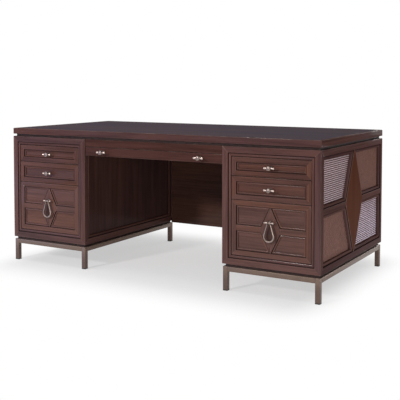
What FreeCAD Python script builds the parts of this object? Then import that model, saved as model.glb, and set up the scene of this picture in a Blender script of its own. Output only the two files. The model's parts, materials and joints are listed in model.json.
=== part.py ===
"""Double-pedestal executive desk with seven drawers, cane sides and square-tube bases.

Millimetres. +Z is up, the drawers face -Y, and the origin is on the floor under the middle of the desk.
"""
import FreeCAD
import Part
import math
import os

from FreeCAD import Vector

# Overall sizes
desk_width = 1880.0
desk_depth = 914.0
pedestal_width = 515.0

# Top and the shadow gap under it
top_thickness = 33.0
lipping_width = 20.0
reveal_height = 13.0
reveal_inset = 14.0
reveal_strip_width = 60.0

# Base frames
base_height = 122.0
base_inset = 3.0
tube_size = 25.0
tube_wall = 2.0
glide_height = 5.0
glide_margin = 0.5
glide_stem_height = 15.0
glide_stem_clearance = 0.1
corner_plate_size = 55.0
corner_plate_thickness = 4.0
spacer_height = 13.0
spacer_inset = 14.0
spacer_strip_width = 45.0

# Mitred carcase frames, with a quirk and a bead round each opening
frame_thickness = 22.0
band_width = 31.0
quirk_width = 3.0
quirk_depth = 6.0
bead_width = 13.0
face_bead_drop = 1.5
side_bead_drop = 3.0
flat_panel_thickness = 10.0
carcase_board_thickness = 18.0
liner_thickness = 10.0

# Cane sides with a diamond
cane_thickness = 6.0
cross_rail_width = 28.0
side_diamond_half_width = 124.0
side_diamond_tip_width = 11.0

# Drawer fronts
top_drawer_height = 92.0
middle_drawer_height = 114.0
file_drawer_height = 271.0
pencil_drawer_height = 46.0
drawer_gap = 2.5
front_set_back = 5.0
front_panel_thickness = 12.0
front_relief = 8.0
front_band_width = 25.0
front_quirk_width = 2.0
front_quirk_depth = 5.0
front_bead_width = 9.0
front_bead_drop = 3.0
mid_rail_width = 28.0
file_diamond_half_width = 55.0
file_diamond_tip_width = 2.0
pencil_front_thickness = 20.0

# Kneehole
apron_height = 40.0
apron_thickness = 20.0
modesty_thickness = 20.0
modesty_set_back = 2.0
modesty_drop = 10.0
hanger_thickness = 20.0
hanger_height = 88.0
hanger_length = 440.0

# Drawer boxes
box_wall = 12.0
box_bottom_thickness = 6.0
box_bottom_rise = 6.0
box_lift = 10.0
box_length = 560.0
top_box_height = 70.0
middle_box_height = 85.0
file_box_height = 225.0
pencil_box_lift = 5.0
pencil_box_height = 36.0
pencil_box_length = 420.0
file_rail_width = 4.0
file_rail_height = 12.0

# Drawer slides, made of nested steel channels
slide_space = 12.7
slide_steel = 1.2
slide_clearance = 0.3
slide_tip_clearance = 1.0
slide_height = 30.0
file_slide_height = 46.0
slide_length = 550.0
pencil_slide_length = 400.0
slide_rise = 35.0
pencil_slide_rise = 18.0
batten_height = 60.0

# Pulls and bails
pull_length = 36.0
small_bar_stand_off = 27.0
file_bar_stand_off = 17.0
boss_diameter = 22.0
boss_head_start = 18.0
boss_neck_diameter = 12.0
rosette_diameter = 17.0
rosette_thickness = 3.0
small_bar_length = 58.0
file_bar_length = 54.0
arm_neck_diameter = 8.0
arm_tip_diameter = 12.0
arm_neck_run = 14.0
file_post_diameter = 10.0
file_post_length = 22.0
file_rosette_diameter = 20.0
file_pull_rise = 40.0
bail_rod_diameter = 7.0
bail_width = 59.0
bail_drop = 95.0
eye_diameter = 16.0
eye_thickness = 5.0
eye_side_clearance = 0.4
eye_bore_clearance = 0.3
bail_root = 6.6
pencil_pull_inset = 122.5

# Screws
screw_diameter = 5.0
screw_head_diameter = 9.0
screw_head_height = 3.0
pull_screw_diameter = 4.0
pull_screw_head_diameter = 8.0
pull_screw_bite = 6.0
hole_clearance = 0.2
hole_end_clearance = 1.0
top_screw_bite = 15.0
base_screw_bite = 12.0
top_screw_pitch = 500.0

# Levels and planes worked out from the sizes above
half_width = desk_width / 2
inner_x = half_width - pedestal_width
pedestal_middle = (half_width + inner_x) / 2
pull_reach = pull_length - front_set_back
face_y = -(desk_depth - pull_reach) / 2
back_y = face_y + desk_depth
frame_inset = band_width + quirk_width + bead_width
drawer_stack = top_drawer_height + middle_drawer_height + file_drawer_height + 4 * drawer_gap
pedestal_z0 = base_height + spacer_height
pedestal_z1 = pedestal_z0 + 2 * frame_inset + drawer_stack
top_z0 = pedestal_z1 + reveal_height
top_z1 = top_z0 + top_thickness
opening_x0 = inner_x + frame_inset
opening_x1 = half_width - frame_inset
opening_z0 = pedestal_z0 + frame_inset
inside_y0 = face_y + frame_thickness
inside_y1 = back_y - frame_thickness
front_face_y = face_y + front_set_back
front_back_y = front_face_y + front_relief + front_panel_thickness
file_z0 = opening_z0 + drawer_gap
middle_z0 = file_z0 + file_drawer_height + drawer_gap
upper_z0 = middle_z0 + middle_drawer_height + drawer_gap
apron_z0 = pedestal_z1 - apron_height
pencil_z0 = apron_z0 - drawer_gap - pencil_drawer_height
pencil_back_y = front_face_y + pencil_front_thickness
file_middle_z = file_z0 + file_drawer_height / 2
file_bar_z = file_middle_z + file_pull_rise


def block(x0, x1, y0, y1, z0, z1):
    """A box between two corners, whichever way round they are given."""
    low = Vector(min(x0, x1), min(y0, y1), min(z0, z1))
    return Part.makeBox(abs(x1 - x0), abs(y1 - y0), abs(z1 - z0), low)


def rod(start, direction, radius, length):
    return Part.makeCylinder(radius, length, start, direction)


def mirrored(solids):
    """The same solids on the other side of the desk's middle plane."""
    return [solid.mirror(Vector(0, 0, 0), Vector(1, 0, 0)) for solid in solids]


def drilled(solids, holes):
    """Each solid with the holes that reach it cut out."""
    result = []
    for solid in solids:
        for hole in holes:
            if solid.BoundBox.intersect(hole.BoundBox):
                solid = solid.cut(hole).Solids[0]
        result.append(solid)
    return result


class Wall:
    """A flat wall: u runs along it, z up it, and depth into it from its outer face."""

    def __init__(self, origin, along, inward):
        self.origin = origin
        self.along = along
        self.inward = inward

    def prism(self, outline, depth0, depth1):
        start = self.origin + self.inward * depth0
        points = [start + self.along * u + Vector(0, 0, z) for u, z in outline]
        face = Part.Face(Part.makePolygon(points + points[:1]))
        solid = face.extrude(self.inward * (depth1 - depth0))
        if solid.Volume < 0:
            solid.reverse()
        return solid


def rectangle(u0, u1, z0, z1, inset=0.0):
    return [(u0 + inset, z0 + inset), (u1 - inset, z0 + inset),
            (u1 - inset, z1 - inset), (u0 + inset, z1 - inset)]


def inset_outline(outline, distance):
    """A convex outline with every side moved inwards by the same distance."""
    sides = list(zip(outline, outline[1:] + outline[:1]))
    area = sum(u0 * z1 - u1 * z0 for (u0, z0), (u1, z1) in sides)
    lines = []
    for (u0, z0), (u1, z1) in sides:
        along = (u1 - u0, z1 - z0)
        shift = math.copysign(distance, area) / math.hypot(*along)
        lines.append((u0 - along[1] * shift, z0 + along[0] * shift, *along))
    corners = []
    for i, (u, z, du, dz) in enumerate(lines):
        back_u, back_z, back_du, back_dz = lines[i - 1]
        reach = ((u - back_u) * dz - (z - back_z) * du) / (back_du * dz - back_dz * du)
        corners.append((back_u + back_du * reach, back_z + back_dz * reach))
    return corners


def mitred_frame(wall, u0, u1, z0, z1, band, depth):
    """Four flat members, mitred at the corners."""
    outer = rectangle(u0, u1, z0, z1)
    inner = rectangle(u0, u1, z0, z1, band)
    members = []
    for i in range(4):
        j = (i + 1) % 4
        members.append(wall.prism([outer[i], outer[j], inner[j], inner[i]], 0, depth))
    return members


def bead_ring(wall, opening, bead, depth):
    """A bead all round an opening, parted from the opening's edge by a quirk."""
    quirk, width, drop, quirk_bottom = bead
    ring = wall.prism(opening, quirk_bottom, depth)
    ring = ring.fuse(wall.prism(inset_outline(opening, quirk), drop, quirk_bottom))
    hollow = wall.prism(inset_outline(opening, quirk + width), drop, depth)
    return ring.cut(hollow).removeSplitter().Solids[0]


def beaded_frame(wall, u0, u1, z0, z1, bead):
    """A mitred carcase frame and the bead round its one opening."""
    members = mitred_frame(wall, u0, u1, z0, z1, band_width, frame_thickness)
    return members, bead_ring(wall, rectangle(u0, u1, z0, z1, band_width), bead, frame_thickness)


def corner_wedge(x, y, toward_x, toward_y, along_x):
    """The half of a square corner that the neighbouring frame takes, split at 45 degrees."""
    reach_x = x + toward_x * frame_thickness
    reach_y = y + toward_y * frame_thickness
    third = (x, reach_y) if along_x else (reach_x, y)
    points = [Vector(px, py, pedestal_z0) for px, py in [(x, y), third, (reach_x, reach_y)]]
    face = Part.Face(Part.makePolygon(points + points[:1]))
    return face.extrude(Vector(0, 0, pedestal_z1 - pedestal_z0))


def pedestal_corners(along_x, at_x=None, at_y=None):
    wedges = []
    for x, toward_x in [(inner_x, 1), (half_width, -1)]:
        for y, toward_y in [(face_y, 1), (back_y, -1)]:
            if at_x in (None, x) and at_y in (None, y):
                wedges.append(corner_wedge(x, y, toward_x, toward_y, along_x))
    return wedges


def mitred_at_corners(members, wedges):
    result = []
    for member in members:
        for wedge in wedges:
            member = member.cut(wedge)
        result.append(member.Solids[0])
    return result


front_wall = Wall(Vector(0, face_y, 0), Vector(1, 0, 0), Vector(0, 1, 0))
back_wall = Wall(Vector(0, back_y, 0), Vector(1, 0, 0), Vector(0, -1, 0))
outer_wall = Wall(Vector(half_width, 0, 0), Vector(0, 1, 0), Vector(-1, 0, 0))
inner_wall = Wall(Vector(inner_x, 0, 0), Vector(0, 1, 0), Vector(1, 0, 0))
drawer_wall = Wall(Vector(0, front_face_y, 0), Vector(1, 0, 0), Vector(0, 1, 0))


face_bead = (quirk_width, bead_width, face_bead_drop, quirk_depth)
side_bead = (quirk_width, bead_width, side_bead_drop, quirk_depth)
drawer_bead = (front_quirk_width, front_bead_width, front_bead_drop, front_quirk_depth)


def face_frame():
    members, ring = beaded_frame(front_wall, inner_x, half_width, pedestal_z0, pedestal_z1, face_bead)
    return mitred_at_corners(members, pedestal_corners(True, at_y=face_y)) + [ring]


def flat_panel(wall, u0, u1):
    outline = rectangle(u0, u1, pedestal_z0, pedestal_z1, frame_inset)
    return wall.prism(outline, frame_thickness - flat_panel_thickness, frame_thickness)


def inner_side():
    members, ring = beaded_frame(inner_wall, face_y, back_y, pedestal_z0, pedestal_z1, side_bead)
    members = mitred_at_corners(members, pedestal_corners(False, at_x=inner_x))
    return members + [ring, flat_panel(inner_wall, face_y, back_y)]


def back_panel():
    members, ring = beaded_frame(back_wall, inner_x, half_width, pedestal_z0, pedestal_z1, side_bead)
    members = mitred_at_corners(members, pedestal_corners(True, at_y=back_y))
    return members + [ring, flat_panel(back_wall, inner_x, half_width)]


class DiamondField:
    """A frame's opening with a diamond in its middle, and a rail from each side to the diamond's corner."""

    def __init__(self, middle, half_u, half_z, half_width, tip_width, rail_width):
        self.middle = middle
        self.half_u, self.half_z = half_u, half_z
        self.half_width = half_width
        self.half_tip = tip_width / 2
        self.half_rail = rail_width / 2

    def placed(self, points, side_u=1, side_z=1):
        return [(self.middle[0] + side_u * u, self.middle[1] + side_z * z) for u, z in points]

    def edge(self, z):
        """Half-width of the diamond at a height from its middle."""
        return self.half_width - (self.half_width - self.half_tip) * z / self.half_z

    def diamond(self):
        return self.placed([(self.half_tip, self.half_z), (-self.half_tip, self.half_z),
                            (-self.half_width, 0), (-self.half_tip, -self.half_z),
                            (self.half_tip, -self.half_z), (self.half_width, 0)])

    def rails(self):
        near = self.edge(self.half_rail)
        outline = [(self.half_u, self.half_rail), (near, self.half_rail), (self.half_width, 0),
                   (near, -self.half_rail), (self.half_u, -self.half_rail)]
        return [self.placed(outline, side) for side in (-1, 1)]

    def openings(self):
        outline = [(self.half_tip, self.half_z), (self.half_u, self.half_z), (self.half_u, self.half_rail),
                   (self.edge(self.half_rail), self.half_rail)]
        return [self.placed(outline, side_u, side_z) for side_u in (-1, 1) for side_z in (-1, 1)]


side_middle_y = (face_y + back_y) / 2
side_middle_z = (pedestal_z0 + pedestal_z1) / 2
side_field = DiamondField((side_middle_y, side_middle_z), desk_depth / 2 - band_width,
                          (pedestal_z1 - pedestal_z0) / 2 - band_width, side_diamond_half_width,
                          side_diamond_tip_width, cross_rail_width)


def side_diamond():
    return outer_wall.prism(side_field.diamond(), 0, frame_thickness)


def outer_frame():
    members = mitred_frame(outer_wall, face_y, back_y, pedestal_z0, pedestal_z1, band_width, frame_thickness)
    members = mitred_at_corners(members, pedestal_corners(False, at_x=half_width))
    rails = [outer_wall.prism(outline, 0, frame_thickness) for outline in side_field.rails()]
    rings = [bead_ring(outer_wall, outline, side_bead, frame_thickness) for outline in side_field.openings()]
    return members + rails + rings


def cane_panels():
    return [outer_wall.prism(inset_outline(outline, quirk_width + bead_width),
                             frame_thickness - cane_thickness, frame_thickness)
            for outline in side_field.openings()]


liner_x0 = half_width - frame_thickness - liner_thickness
board_x0 = inner_x + frame_thickness
board_x1 = half_width - frame_thickness
bottom_board_z1 = pedestal_z0 + carcase_board_thickness
top_board_z0 = pedestal_z1 - carcase_board_thickness


def side_liner():
    return [block(liner_x0, board_x1, inside_y0, inside_y1, bottom_board_z1, top_board_z0)]


def carcase_boards():
    bottom = block(board_x0, board_x1, inside_y0, inside_y1, pedestal_z0, bottom_board_z1)
    top = block(board_x0, board_x1, inside_y0, inside_y1, top_board_z0, pedestal_z1)
    return [bottom, top]


def desk_top():
    core_x = half_width - lipping_width
    return [block(-core_x, core_x, face_y + lipping_width, back_y - lipping_width, top_z0, top_z1)]


def top_lipping():
    outer = [(-half_width, face_y), (half_width, face_y), (half_width, back_y), (-half_width, back_y)]
    inner = [(x - math.copysign(lipping_width, x), y + lipping_width * (1 if y < 0 else -1))
             for x, y in outer]
    boards = []
    for i in range(4):
        j = (i + 1) % 4
        points = [Vector(x, y, top_z0) for x, y in (outer[i], outer[j], inner[j], inner[i])]
        face = Part.Face(Part.makePolygon(points + points[:1]))
        boards.append(face.extrude(Vector(0, 0, top_thickness)))
    return boards


reveal_x = half_width - reveal_inset
reveal_y0 = face_y + reveal_inset
reveal_y1 = back_y - reveal_inset
reveal_inner_x0 = inner_x + frame_thickness


def top_reveal():
    """Front and back strips across the desk, and two strips front to back over each pedestal."""
    z0, z1 = pedestal_z1, top_z0
    strips = [block(-reveal_x, reveal_x, reveal_y0, reveal_y0 + reveal_strip_width, z0, z1),
              block(-reveal_x, reveal_x, reveal_y1 - reveal_strip_width, reveal_y1, z0, z1)]
    for x0 in (reveal_inner_x0, reveal_x - reveal_strip_width):
        strip = block(x0, x0 + reveal_strip_width, reveal_y0 + reveal_strip_width,
                      reveal_y1 - reveal_strip_width, z0, z1)
        strips.extend([strip] + mirrored([strip]))
    return strips


def spacer_strips():
    """A ring of strips between the base frame and the pedestal."""
    x0, x1 = inner_x + spacer_inset, half_width - spacer_inset
    y0, y1 = face_y + spacer_inset, back_y - spacer_inset
    z0, z1 = base_height, pedestal_z0
    width = spacer_strip_width
    return [block(x0, x1, y0, y0 + width, z0, z1), block(x0, x1, y1 - width, y1, z0, z1),
            block(x0, x0 + width, y0 + width, y1 - width, z0, z1),
            block(x1 - width, x1, y0 + width, y1 - width, z0, z1)]


base_x0 = inner_x + base_inset
base_x1 = half_width - base_inset
base_y0 = face_y + base_inset
base_y1 = back_y - base_inset
rail_z0 = base_height - tube_size


def leg_corners():
    """Each leg's outer corner, with the directions towards the middle of the base."""
    return [(x, y, toward_x, toward_y) for x, toward_x in [(base_x0, 1), (base_x1, -1)]
            for y, toward_y in [(base_y0, 1), (base_y1, -1)]]


def leg(x, y, toward_x, toward_y):
    outside = block(x, x + toward_x * tube_size, y, y + toward_y * tube_size, glide_height, base_height)
    far = tube_size - tube_wall
    bore = block(x + toward_x * tube_wall, x + toward_x * far, y + toward_y * tube_wall,
                 y + toward_y * far, glide_height, base_height - tube_wall)
    return outside.cut(bore).Solids[0]


def rail_along_x(y, toward_y):
    x0, x1 = base_x0 + tube_size, base_x1 - tube_size
    outside = block(x0, x1, y, y + toward_y * tube_size, rail_z0, base_height)
    bore = block(x0, x1, y + toward_y * tube_wall, y + toward_y * (tube_size - tube_wall),
                 rail_z0 + tube_wall, base_height - tube_wall)
    return outside.cut(bore).Solids[0]


def rail_along_y(x, toward_x):
    y0, y1 = base_y0 + tube_size, base_y1 - tube_size
    outside = block(x, x + toward_x * tube_size, y0, y1, rail_z0, base_height)
    bore = block(x + toward_x * tube_wall, x + toward_x * (tube_size - tube_wall), y0, y1,
                 rail_z0 + tube_wall, base_height - tube_wall)
    return outside.cut(bore).Solids[0]


def corner_plate(x, y, toward_x, toward_y):
    near_x, near_y = x + toward_x * tube_size, y + toward_y * tube_size
    return block(near_x, near_x + toward_x * corner_plate_size, near_y,
                 near_y + toward_y * corner_plate_size, base_height - corner_plate_thickness, base_height)


def base_frame():
    legs = [leg(*corner) for corner in leg_corners()]
    rails = [rail_along_x(base_y0, 1), rail_along_x(base_y1, -1),
             rail_along_y(base_x0, 1), rail_along_y(base_x1, -1)]
    return legs + rails + [corner_plate(*corner) for corner in leg_corners()]


def floor_glide(x, y, toward_x, toward_y):
    """A plastic plug: a pad on the floor and a stem up inside the leg."""
    def square(margin, z0, z1):
        far = tube_size - margin
        return block(x + toward_x * margin, x + toward_x * far, y + toward_y * margin,
                     y + toward_y * far, z0, z1)
    pad = square(glide_margin, 0, glide_height)
    stem = square(tube_wall + glide_stem_clearance, glide_height, glide_height + glide_stem_height)
    return pad.fuse(stem).removeSplitter().Solids[0]


def floor_glides():
    return [floor_glide(*corner) for corner in leg_corners()]


def screw(seat, direction, diameter, head_diameter, length):
    """A pan-head screw whose head bears on the seat, with its shank along the direction."""
    head = rod(seat, direction * -1, head_diameter / 2, screw_head_height)
    shank = rod(seat, direction, diameter / 2, length)
    return head.fuse(shank).removeSplitter().Solids[0]


def screw_hole(seat, direction, diameter, length):
    return rod(seat, direction, diameter / 2 + hole_clearance, length + hole_end_clearance)


up = Vector(0, 0, 1)
inward = Vector(0, 1, 0)
top_screw_length = carcase_board_thickness + reveal_height + top_screw_bite
base_screw_length = corner_plate_thickness + spacer_height + base_screw_bite
base_screw_reach = (spacer_inset + spacer_strip_width - base_inset - tube_size) / 2


def top_screw_seats():
    outer_x = reveal_x - reveal_strip_width / 2
    near_x = reveal_inner_x0 + reveal_strip_width / 2
    return [Vector(x, side_middle_y + sign * top_screw_pitch / 2, top_board_z0)
            for x in (near_x, outer_x) for sign in (-1, 1)]


def base_screw_seats():
    seats = []
    for x, y, toward_x, toward_y in leg_corners():
        reach = tube_size + base_screw_reach
        seats.append(Vector(x + toward_x * reach, y + toward_y * reach,
                            base_height - corner_plate_thickness))
    return seats


def assembly_screws():
    tops = [screw(seat, up, screw_diameter, screw_head_diameter, top_screw_length)
            for seat in top_screw_seats()]
    bases = [screw(seat, up, screw_diameter, screw_head_diameter, base_screw_length)
             for seat in base_screw_seats()]
    return tops + bases


def assembly_holes():
    tops = [screw_hole(seat, up, screw_diameter, top_screw_length) for seat in top_screw_seats()]
    bases = [screw_hole(seat, up, screw_diameter, base_screw_length) for seat in base_screw_seats()]
    return tops + bases


# Drawers

class Drawer:
    """One drawer: its front's box, its inner box and the walls that its slides are fixed to."""

    def __init__(self, name, x0, x1, z0, height, wall_x0, wall_x1):
        self.name = name
        self.x0, self.x1 = x0, x1
        self.z0, self.z1 = z0, z0 + height
        self.wall_x0, self.wall_x1 = wall_x0, wall_x1
        self.box_x0, self.box_x1 = wall_x0 + slide_space, wall_x1 - slide_space
        self.middle_x = (x0 + x1) / 2
        self.middle_z = z0 + height / 2
        self.front_y = front_back_y
        self.lift = box_lift
        self.box_length = box_length
        self.slide_length = slide_length
        self.slide_rise = slide_rise
        self.slide_height = slide_height
        self.box_height = None

    @property
    def box_z0(self):
        return self.z0 + self.lift

    @property
    def slide_z(self):
        return self.box_z0 + self.slide_rise


def pedestal_drawer(name, z0, height, box_height):
    drawer = Drawer(name, opening_x0 + drawer_gap, opening_x1 - drawer_gap, z0, height,
                    opening_x0, opening_x1)
    drawer.box_height = box_height
    return drawer


top_drawer = pedestal_drawer("top_drawer", upper_z0, top_drawer_height, top_box_height)
middle_drawer = pedestal_drawer("middle_drawer", middle_z0, middle_drawer_height, middle_box_height)
file_drawer = pedestal_drawer("file_drawer", file_z0, file_drawer_height, file_box_height)
file_drawer.slide_height = file_slide_height
pencil_drawer = Drawer("pencil_drawer", -inner_x + drawer_gap, inner_x - drawer_gap, pencil_z0,
                       pencil_drawer_height, -inner_x + hanger_thickness, inner_x - hanger_thickness)
pencil_drawer.front_y = pencil_back_y
pencil_drawer.lift = pencil_box_lift
pencil_drawer.box_height = pencil_box_height
pencil_drawer.box_length = pencil_box_length
pencil_drawer.slide_length = pencil_slide_length
pencil_drawer.slide_rise = pencil_slide_rise
pedestal_drawers = [top_drawer, middle_drawer, file_drawer]


def front_frame(drawer):
    """The backing panel of a drawer's front and the mitred frame on it."""
    outline = rectangle(drawer.x0, drawer.x1, drawer.z0, drawer.z1)
    panel = drawer_wall.prism(outline, front_relief, front_relief + front_panel_thickness)
    return [panel] + mitred_frame(drawer_wall, drawer.x0, drawer.x1, drawer.z0, drawer.z1,
                                  front_band_width, front_relief)


def plain_field(drawer):
    """The bead round a small drawer's one sunk panel."""
    opening = rectangle(drawer.x0, drawer.x1, drawer.z0, drawer.z1, front_band_width)
    return [bead_ring(drawer_wall, opening, drawer_bead, front_relief)]


def file_field(drawer):
    """The diamond, the two rails that meet it and the beads round the four sunk panels."""
    field = DiamondField((drawer.middle_x, drawer.middle_z), (drawer.x1 - drawer.x0) / 2 - front_band_width,
                         (drawer.z1 - drawer.z0) / 2 - front_band_width, file_diamond_half_width,
                         file_diamond_tip_width, mid_rail_width)
    boards = [drawer_wall.prism(outline, 0, front_relief) for outline in [field.diamond()] + field.rails()]
    return boards + [bead_ring(drawer_wall, outline, drawer_bead, front_relief)
                     for outline in field.openings()]


def drawer_box(drawer):
    x0, x1 = drawer.box_x0, drawer.box_x1
    y0, y1 = drawer.front_y, drawer.front_y + drawer.box_length
    z0, z1 = drawer.box_z0, drawer.box_z0 + drawer.box_height
    sides = [block(x0, x0 + box_wall, y0, y1, z0, z1), block(x1 - box_wall, x1, y0, y1, z0, z1)]
    ends = [block(x0 + box_wall, x1 - box_wall, y0, y0 + box_wall, z0, z1),
            block(x0 + box_wall, x1 - box_wall, y1 - box_wall, y1, z0, z1)]
    bottom_z = z0 + box_bottom_rise
    bottom = block(x0 + box_wall, x1 - box_wall, y0 + box_wall, y1 - box_wall,
                   bottom_z, bottom_z + box_bottom_thickness)
    return sides + ends + [bottom]


def file_rails(drawer):
    """Two bars on the box's sides that hanging files hook over."""
    y0, y1 = drawer.front_y, drawer.front_y + drawer.box_length
    z0 = drawer.box_z0 + drawer.box_height
    inset = (box_wall - file_rail_width) / 2
    return [block(drawer.box_x0 + inset, drawer.box_x0 + inset + file_rail_width,
                  y0, y1, z0, z0 + file_rail_height),
            block(drawer.box_x1 - inset - file_rail_width, drawer.box_x1 - inset,
                  y0, y1, z0, z0 + file_rail_height)]


def channel(drawer, web_x, tip_x, height):
    """A C-section along the drawer's travel, with its web at one end and open at the other."""
    y0, y1 = drawer.front_y, drawer.front_y + drawer.slide_length
    half = height / 2
    toward = math.copysign(slide_steel, tip_x - web_x)
    outside = block(web_x, tip_x, y0, y1, drawer.slide_z - half, drawer.slide_z + half)
    hollow = block(web_x + toward, tip_x, y0, y1, drawer.slide_z - half + slide_steel,
                   drawer.slide_z + half - slide_steel)
    return outside.cut(hollow).Solids[0]


nested_step = 2 * (slide_steel + slide_clearance)


def slide_sides(drawer):
    """For each side of the drawer: the cabinet wall, the box wall and the way from wall to box."""
    return [(drawer.wall_x0, drawer.box_x0, 1), (drawer.wall_x1, drawer.box_x1, -1)]


def cabinet_channels(drawer):
    return [channel(drawer, wall_x, box_x - way * (slide_steel + slide_clearance), drawer.slide_height)
            for wall_x, box_x, way in slide_sides(drawer)]


def drawer_channels(drawer, nesting):
    """The members on the box, nested one or two steps inside the cabinet members."""
    tip = nesting * (slide_steel + slide_clearance) + slide_tip_clearance
    return [channel(drawer, box_x, wall_x + way * tip, drawer.slide_height - nesting * nested_step)
            for wall_x, box_x, way in slide_sides(drawer)]


def middle_channels(drawer):
    step = slide_steel + slide_clearance
    return [channel(drawer, wall_x + way * step, box_x - way * step, drawer.slide_height - nested_step)
            for wall_x, box_x, way in slide_sides(drawer)]


def pedestal_battens():
    battens = []
    for drawer in pedestal_drawers:
        z0, z1 = drawer.slide_z - batten_height / 2, drawer.slide_z + batten_height / 2
        battens.append(block(board_x0, opening_x0, inside_y0, inside_y1, z0, z1))
        battens.append(block(opening_x1, liner_x0, inside_y0, inside_y1, z0, z1))
    return battens


apron_back_y = front_face_y + apron_thickness


def pencil_hanger():
    return block(inner_x - hanger_thickness, inner_x, apron_back_y, apron_back_y + hanger_length,
                 pedestal_z1 - hanger_height, pedestal_z1)


def apron_rail():
    return [block(-inner_x, inner_x, front_face_y, apron_back_y, apron_z0, pedestal_z1)]


def modesty_panel():
    y1 = back_y - modesty_set_back
    return [block(-inner_x, inner_x, y1 - modesty_thickness, y1, pedestal_z0 - modesty_drop, pedestal_z1)]


# Pulls

def turned(profile, origin, axis, across):
    """A solid of revolution from (distance along the axis, radius) points that start and end on it."""
    points = [origin + axis * t + across * r for t, r in profile]
    face = Part.Face(Part.makePolygon(points + points[:1]))
    solid = face.revolve(origin, axis, 360)
    if solid.Volume < 0:
        solid.reverse()
    return solid


out = Vector(0, -1, 0)


def pull_arm(origin, side, bar_length):
    """A turned arm with a slim neck, swelling to a ball at its end."""
    axis = Vector(side, 0, 0)
    neck = arm_neck_diameter / 2
    tip = arm_tip_diameter / 2
    ball = bar_length / 2 - tip
    corner = tip * math.sqrt(0.5)

    def at(t, r):
        return origin + axis * t + up * r

    edges = [Part.LineSegment(at(0, 0), at(0, neck)), Part.LineSegment(at(0, neck), at(arm_neck_run, neck)),
             Part.LineSegment(at(arm_neck_run, neck), at(ball, tip)),
             Part.Arc(at(ball, tip), at(ball + corner, corner), at(ball + tip, 0)),
             Part.LineSegment(at(ball + tip, 0), at(0, 0))]
    face = Part.Face(Part.Wire([edge.toShape() for edge in edges]))
    solid = face.revolve(origin, axis, 360)
    if solid.Volume < 0:
        solid.reverse()
    return solid


def small_boss(base):
    profile = [(0, 0), (0, rosette_diameter / 2), (rosette_thickness, rosette_diameter / 2),
               (rosette_thickness, boss_neck_diameter / 2), (boss_head_start, boss_neck_diameter / 2),
               (boss_head_start, boss_diameter / 2), (pull_length, boss_diameter / 2), (pull_length, 0)]
    return turned(profile, base, out, up)


def file_boss(base):
    post = file_post_diameter / 2
    profile = [(0, 0), (0, file_rosette_diameter / 2), (rosette_thickness, file_rosette_diameter / 2),
               (rosette_thickness, post), (file_post_length, post), (file_post_length, 0)]
    return turned(profile, base, out, up)


def pull(base, boss, stand_off, bar_length, screw_length):
    """Boss, two arms and the screw that holds them, standing on the front at a base point."""
    axis_point = base + out * stand_off
    arms = [pull_arm(axis_point, side, bar_length).cut(boss).Solids[0] for side in (-1, 1)]
    seat = base + inward * (screw_length - pull_screw_bite)
    bored = boss.cut(screw_hole(seat, out, pull_screw_diameter, screw_length)).Solids[0]
    fixing = screw(seat, out, pull_screw_diameter, pull_screw_head_diameter, screw_length)
    return [bored] + arms + [fixing]


def pull_hole(base, screw_length):
    seat = base + inward * (screw_length - pull_screw_bite)
    return screw_hole(seat, out, pull_screw_diameter, screw_length)


bail_axis_y = front_face_y - file_bar_stand_off
eye_x = file_post_diameter / 2 + eye_side_clearance + eye_thickness / 2


def bail():
    """A teardrop of round rod between two eyes on the pull's arms."""
    radius = bail_rod_diameter / 2
    bend = bail_width / 2 - radius
    middle = Vector(pedestal_middle, bail_axis_y, file_bar_z)
    bend_middle = middle - up * (bail_drop - radius - bend)
    root = middle + Vector(eye_x, 0, -bail_root)
    reach = root - bend_middle
    angle = math.atan2(reach.z, reach.x) - math.acos(bend / reach.Length)
    touch = Vector(bend * math.cos(angle), 0, bend * math.sin(angle))
    flip = Vector(-touch.x, 0, touch.z)
    far_root = middle + Vector(-eye_x, 0, -bail_root)
    low = bend_middle - up * bend
    path = Part.Wire([Part.LineSegment(root, bend_middle + touch).toShape(),
                      Part.Arc(bend_middle + touch, low, bend_middle + flip).toShape(),
                      Part.LineSegment(bend_middle + flip, far_root).toShape()])
    section = Part.Wire([Part.Circle(root, bend_middle + touch - root, radius).toShape()])
    loop = path.makePipeShell([section], True, False)
    bore = arm_neck_diameter / 2 + eye_bore_clearance
    for side in (-1, 1):
        start = middle + Vector(side * eye_x - eye_thickness / 2, 0, 0)
        eye = rod(start, Vector(1, 0, 0), eye_diameter / 2, eye_thickness)
        loop = loop.fuse(eye.cut(rod(start, Vector(1, 0, 0), bore, eye_thickness)))
    return [loop.removeSplitter().Solids[0]]


small_screw_length = box_wall + front_panel_thickness + pull_screw_bite
file_screw_length = small_screw_length + front_relief
pencil_screw_length = box_wall + pencil_front_thickness + pull_screw_bite
field_y = front_face_y + front_relief


def drawer_nodes(drawer):
    """The parts of one pedestal drawer, by the end of their names."""
    if drawer is file_drawer:
        front = front_frame(drawer) + file_field(drawer)
        base = Vector(drawer.middle_x, front_face_y, file_bar_z)
        length = file_screw_length
        pull_solids = pull(base, file_boss(base), file_bar_stand_off, file_bar_length, length)
    else:
        front = front_frame(drawer) + plain_field(drawer)
        base = Vector(drawer.middle_x, field_y, drawer.middle_z)
        length = small_screw_length
        pull_solids = pull(base, small_boss(base), small_bar_stand_off, small_bar_length, length)
    holes = [pull_hole(base, length)]
    nesting = 2 if drawer is file_drawer else 1
    return {"front": drilled(front, holes), "box": drilled(drawer_box(drawer), holes),
            "slides": drawer_channels(drawer, nesting), "pull": pull_solids}


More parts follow.
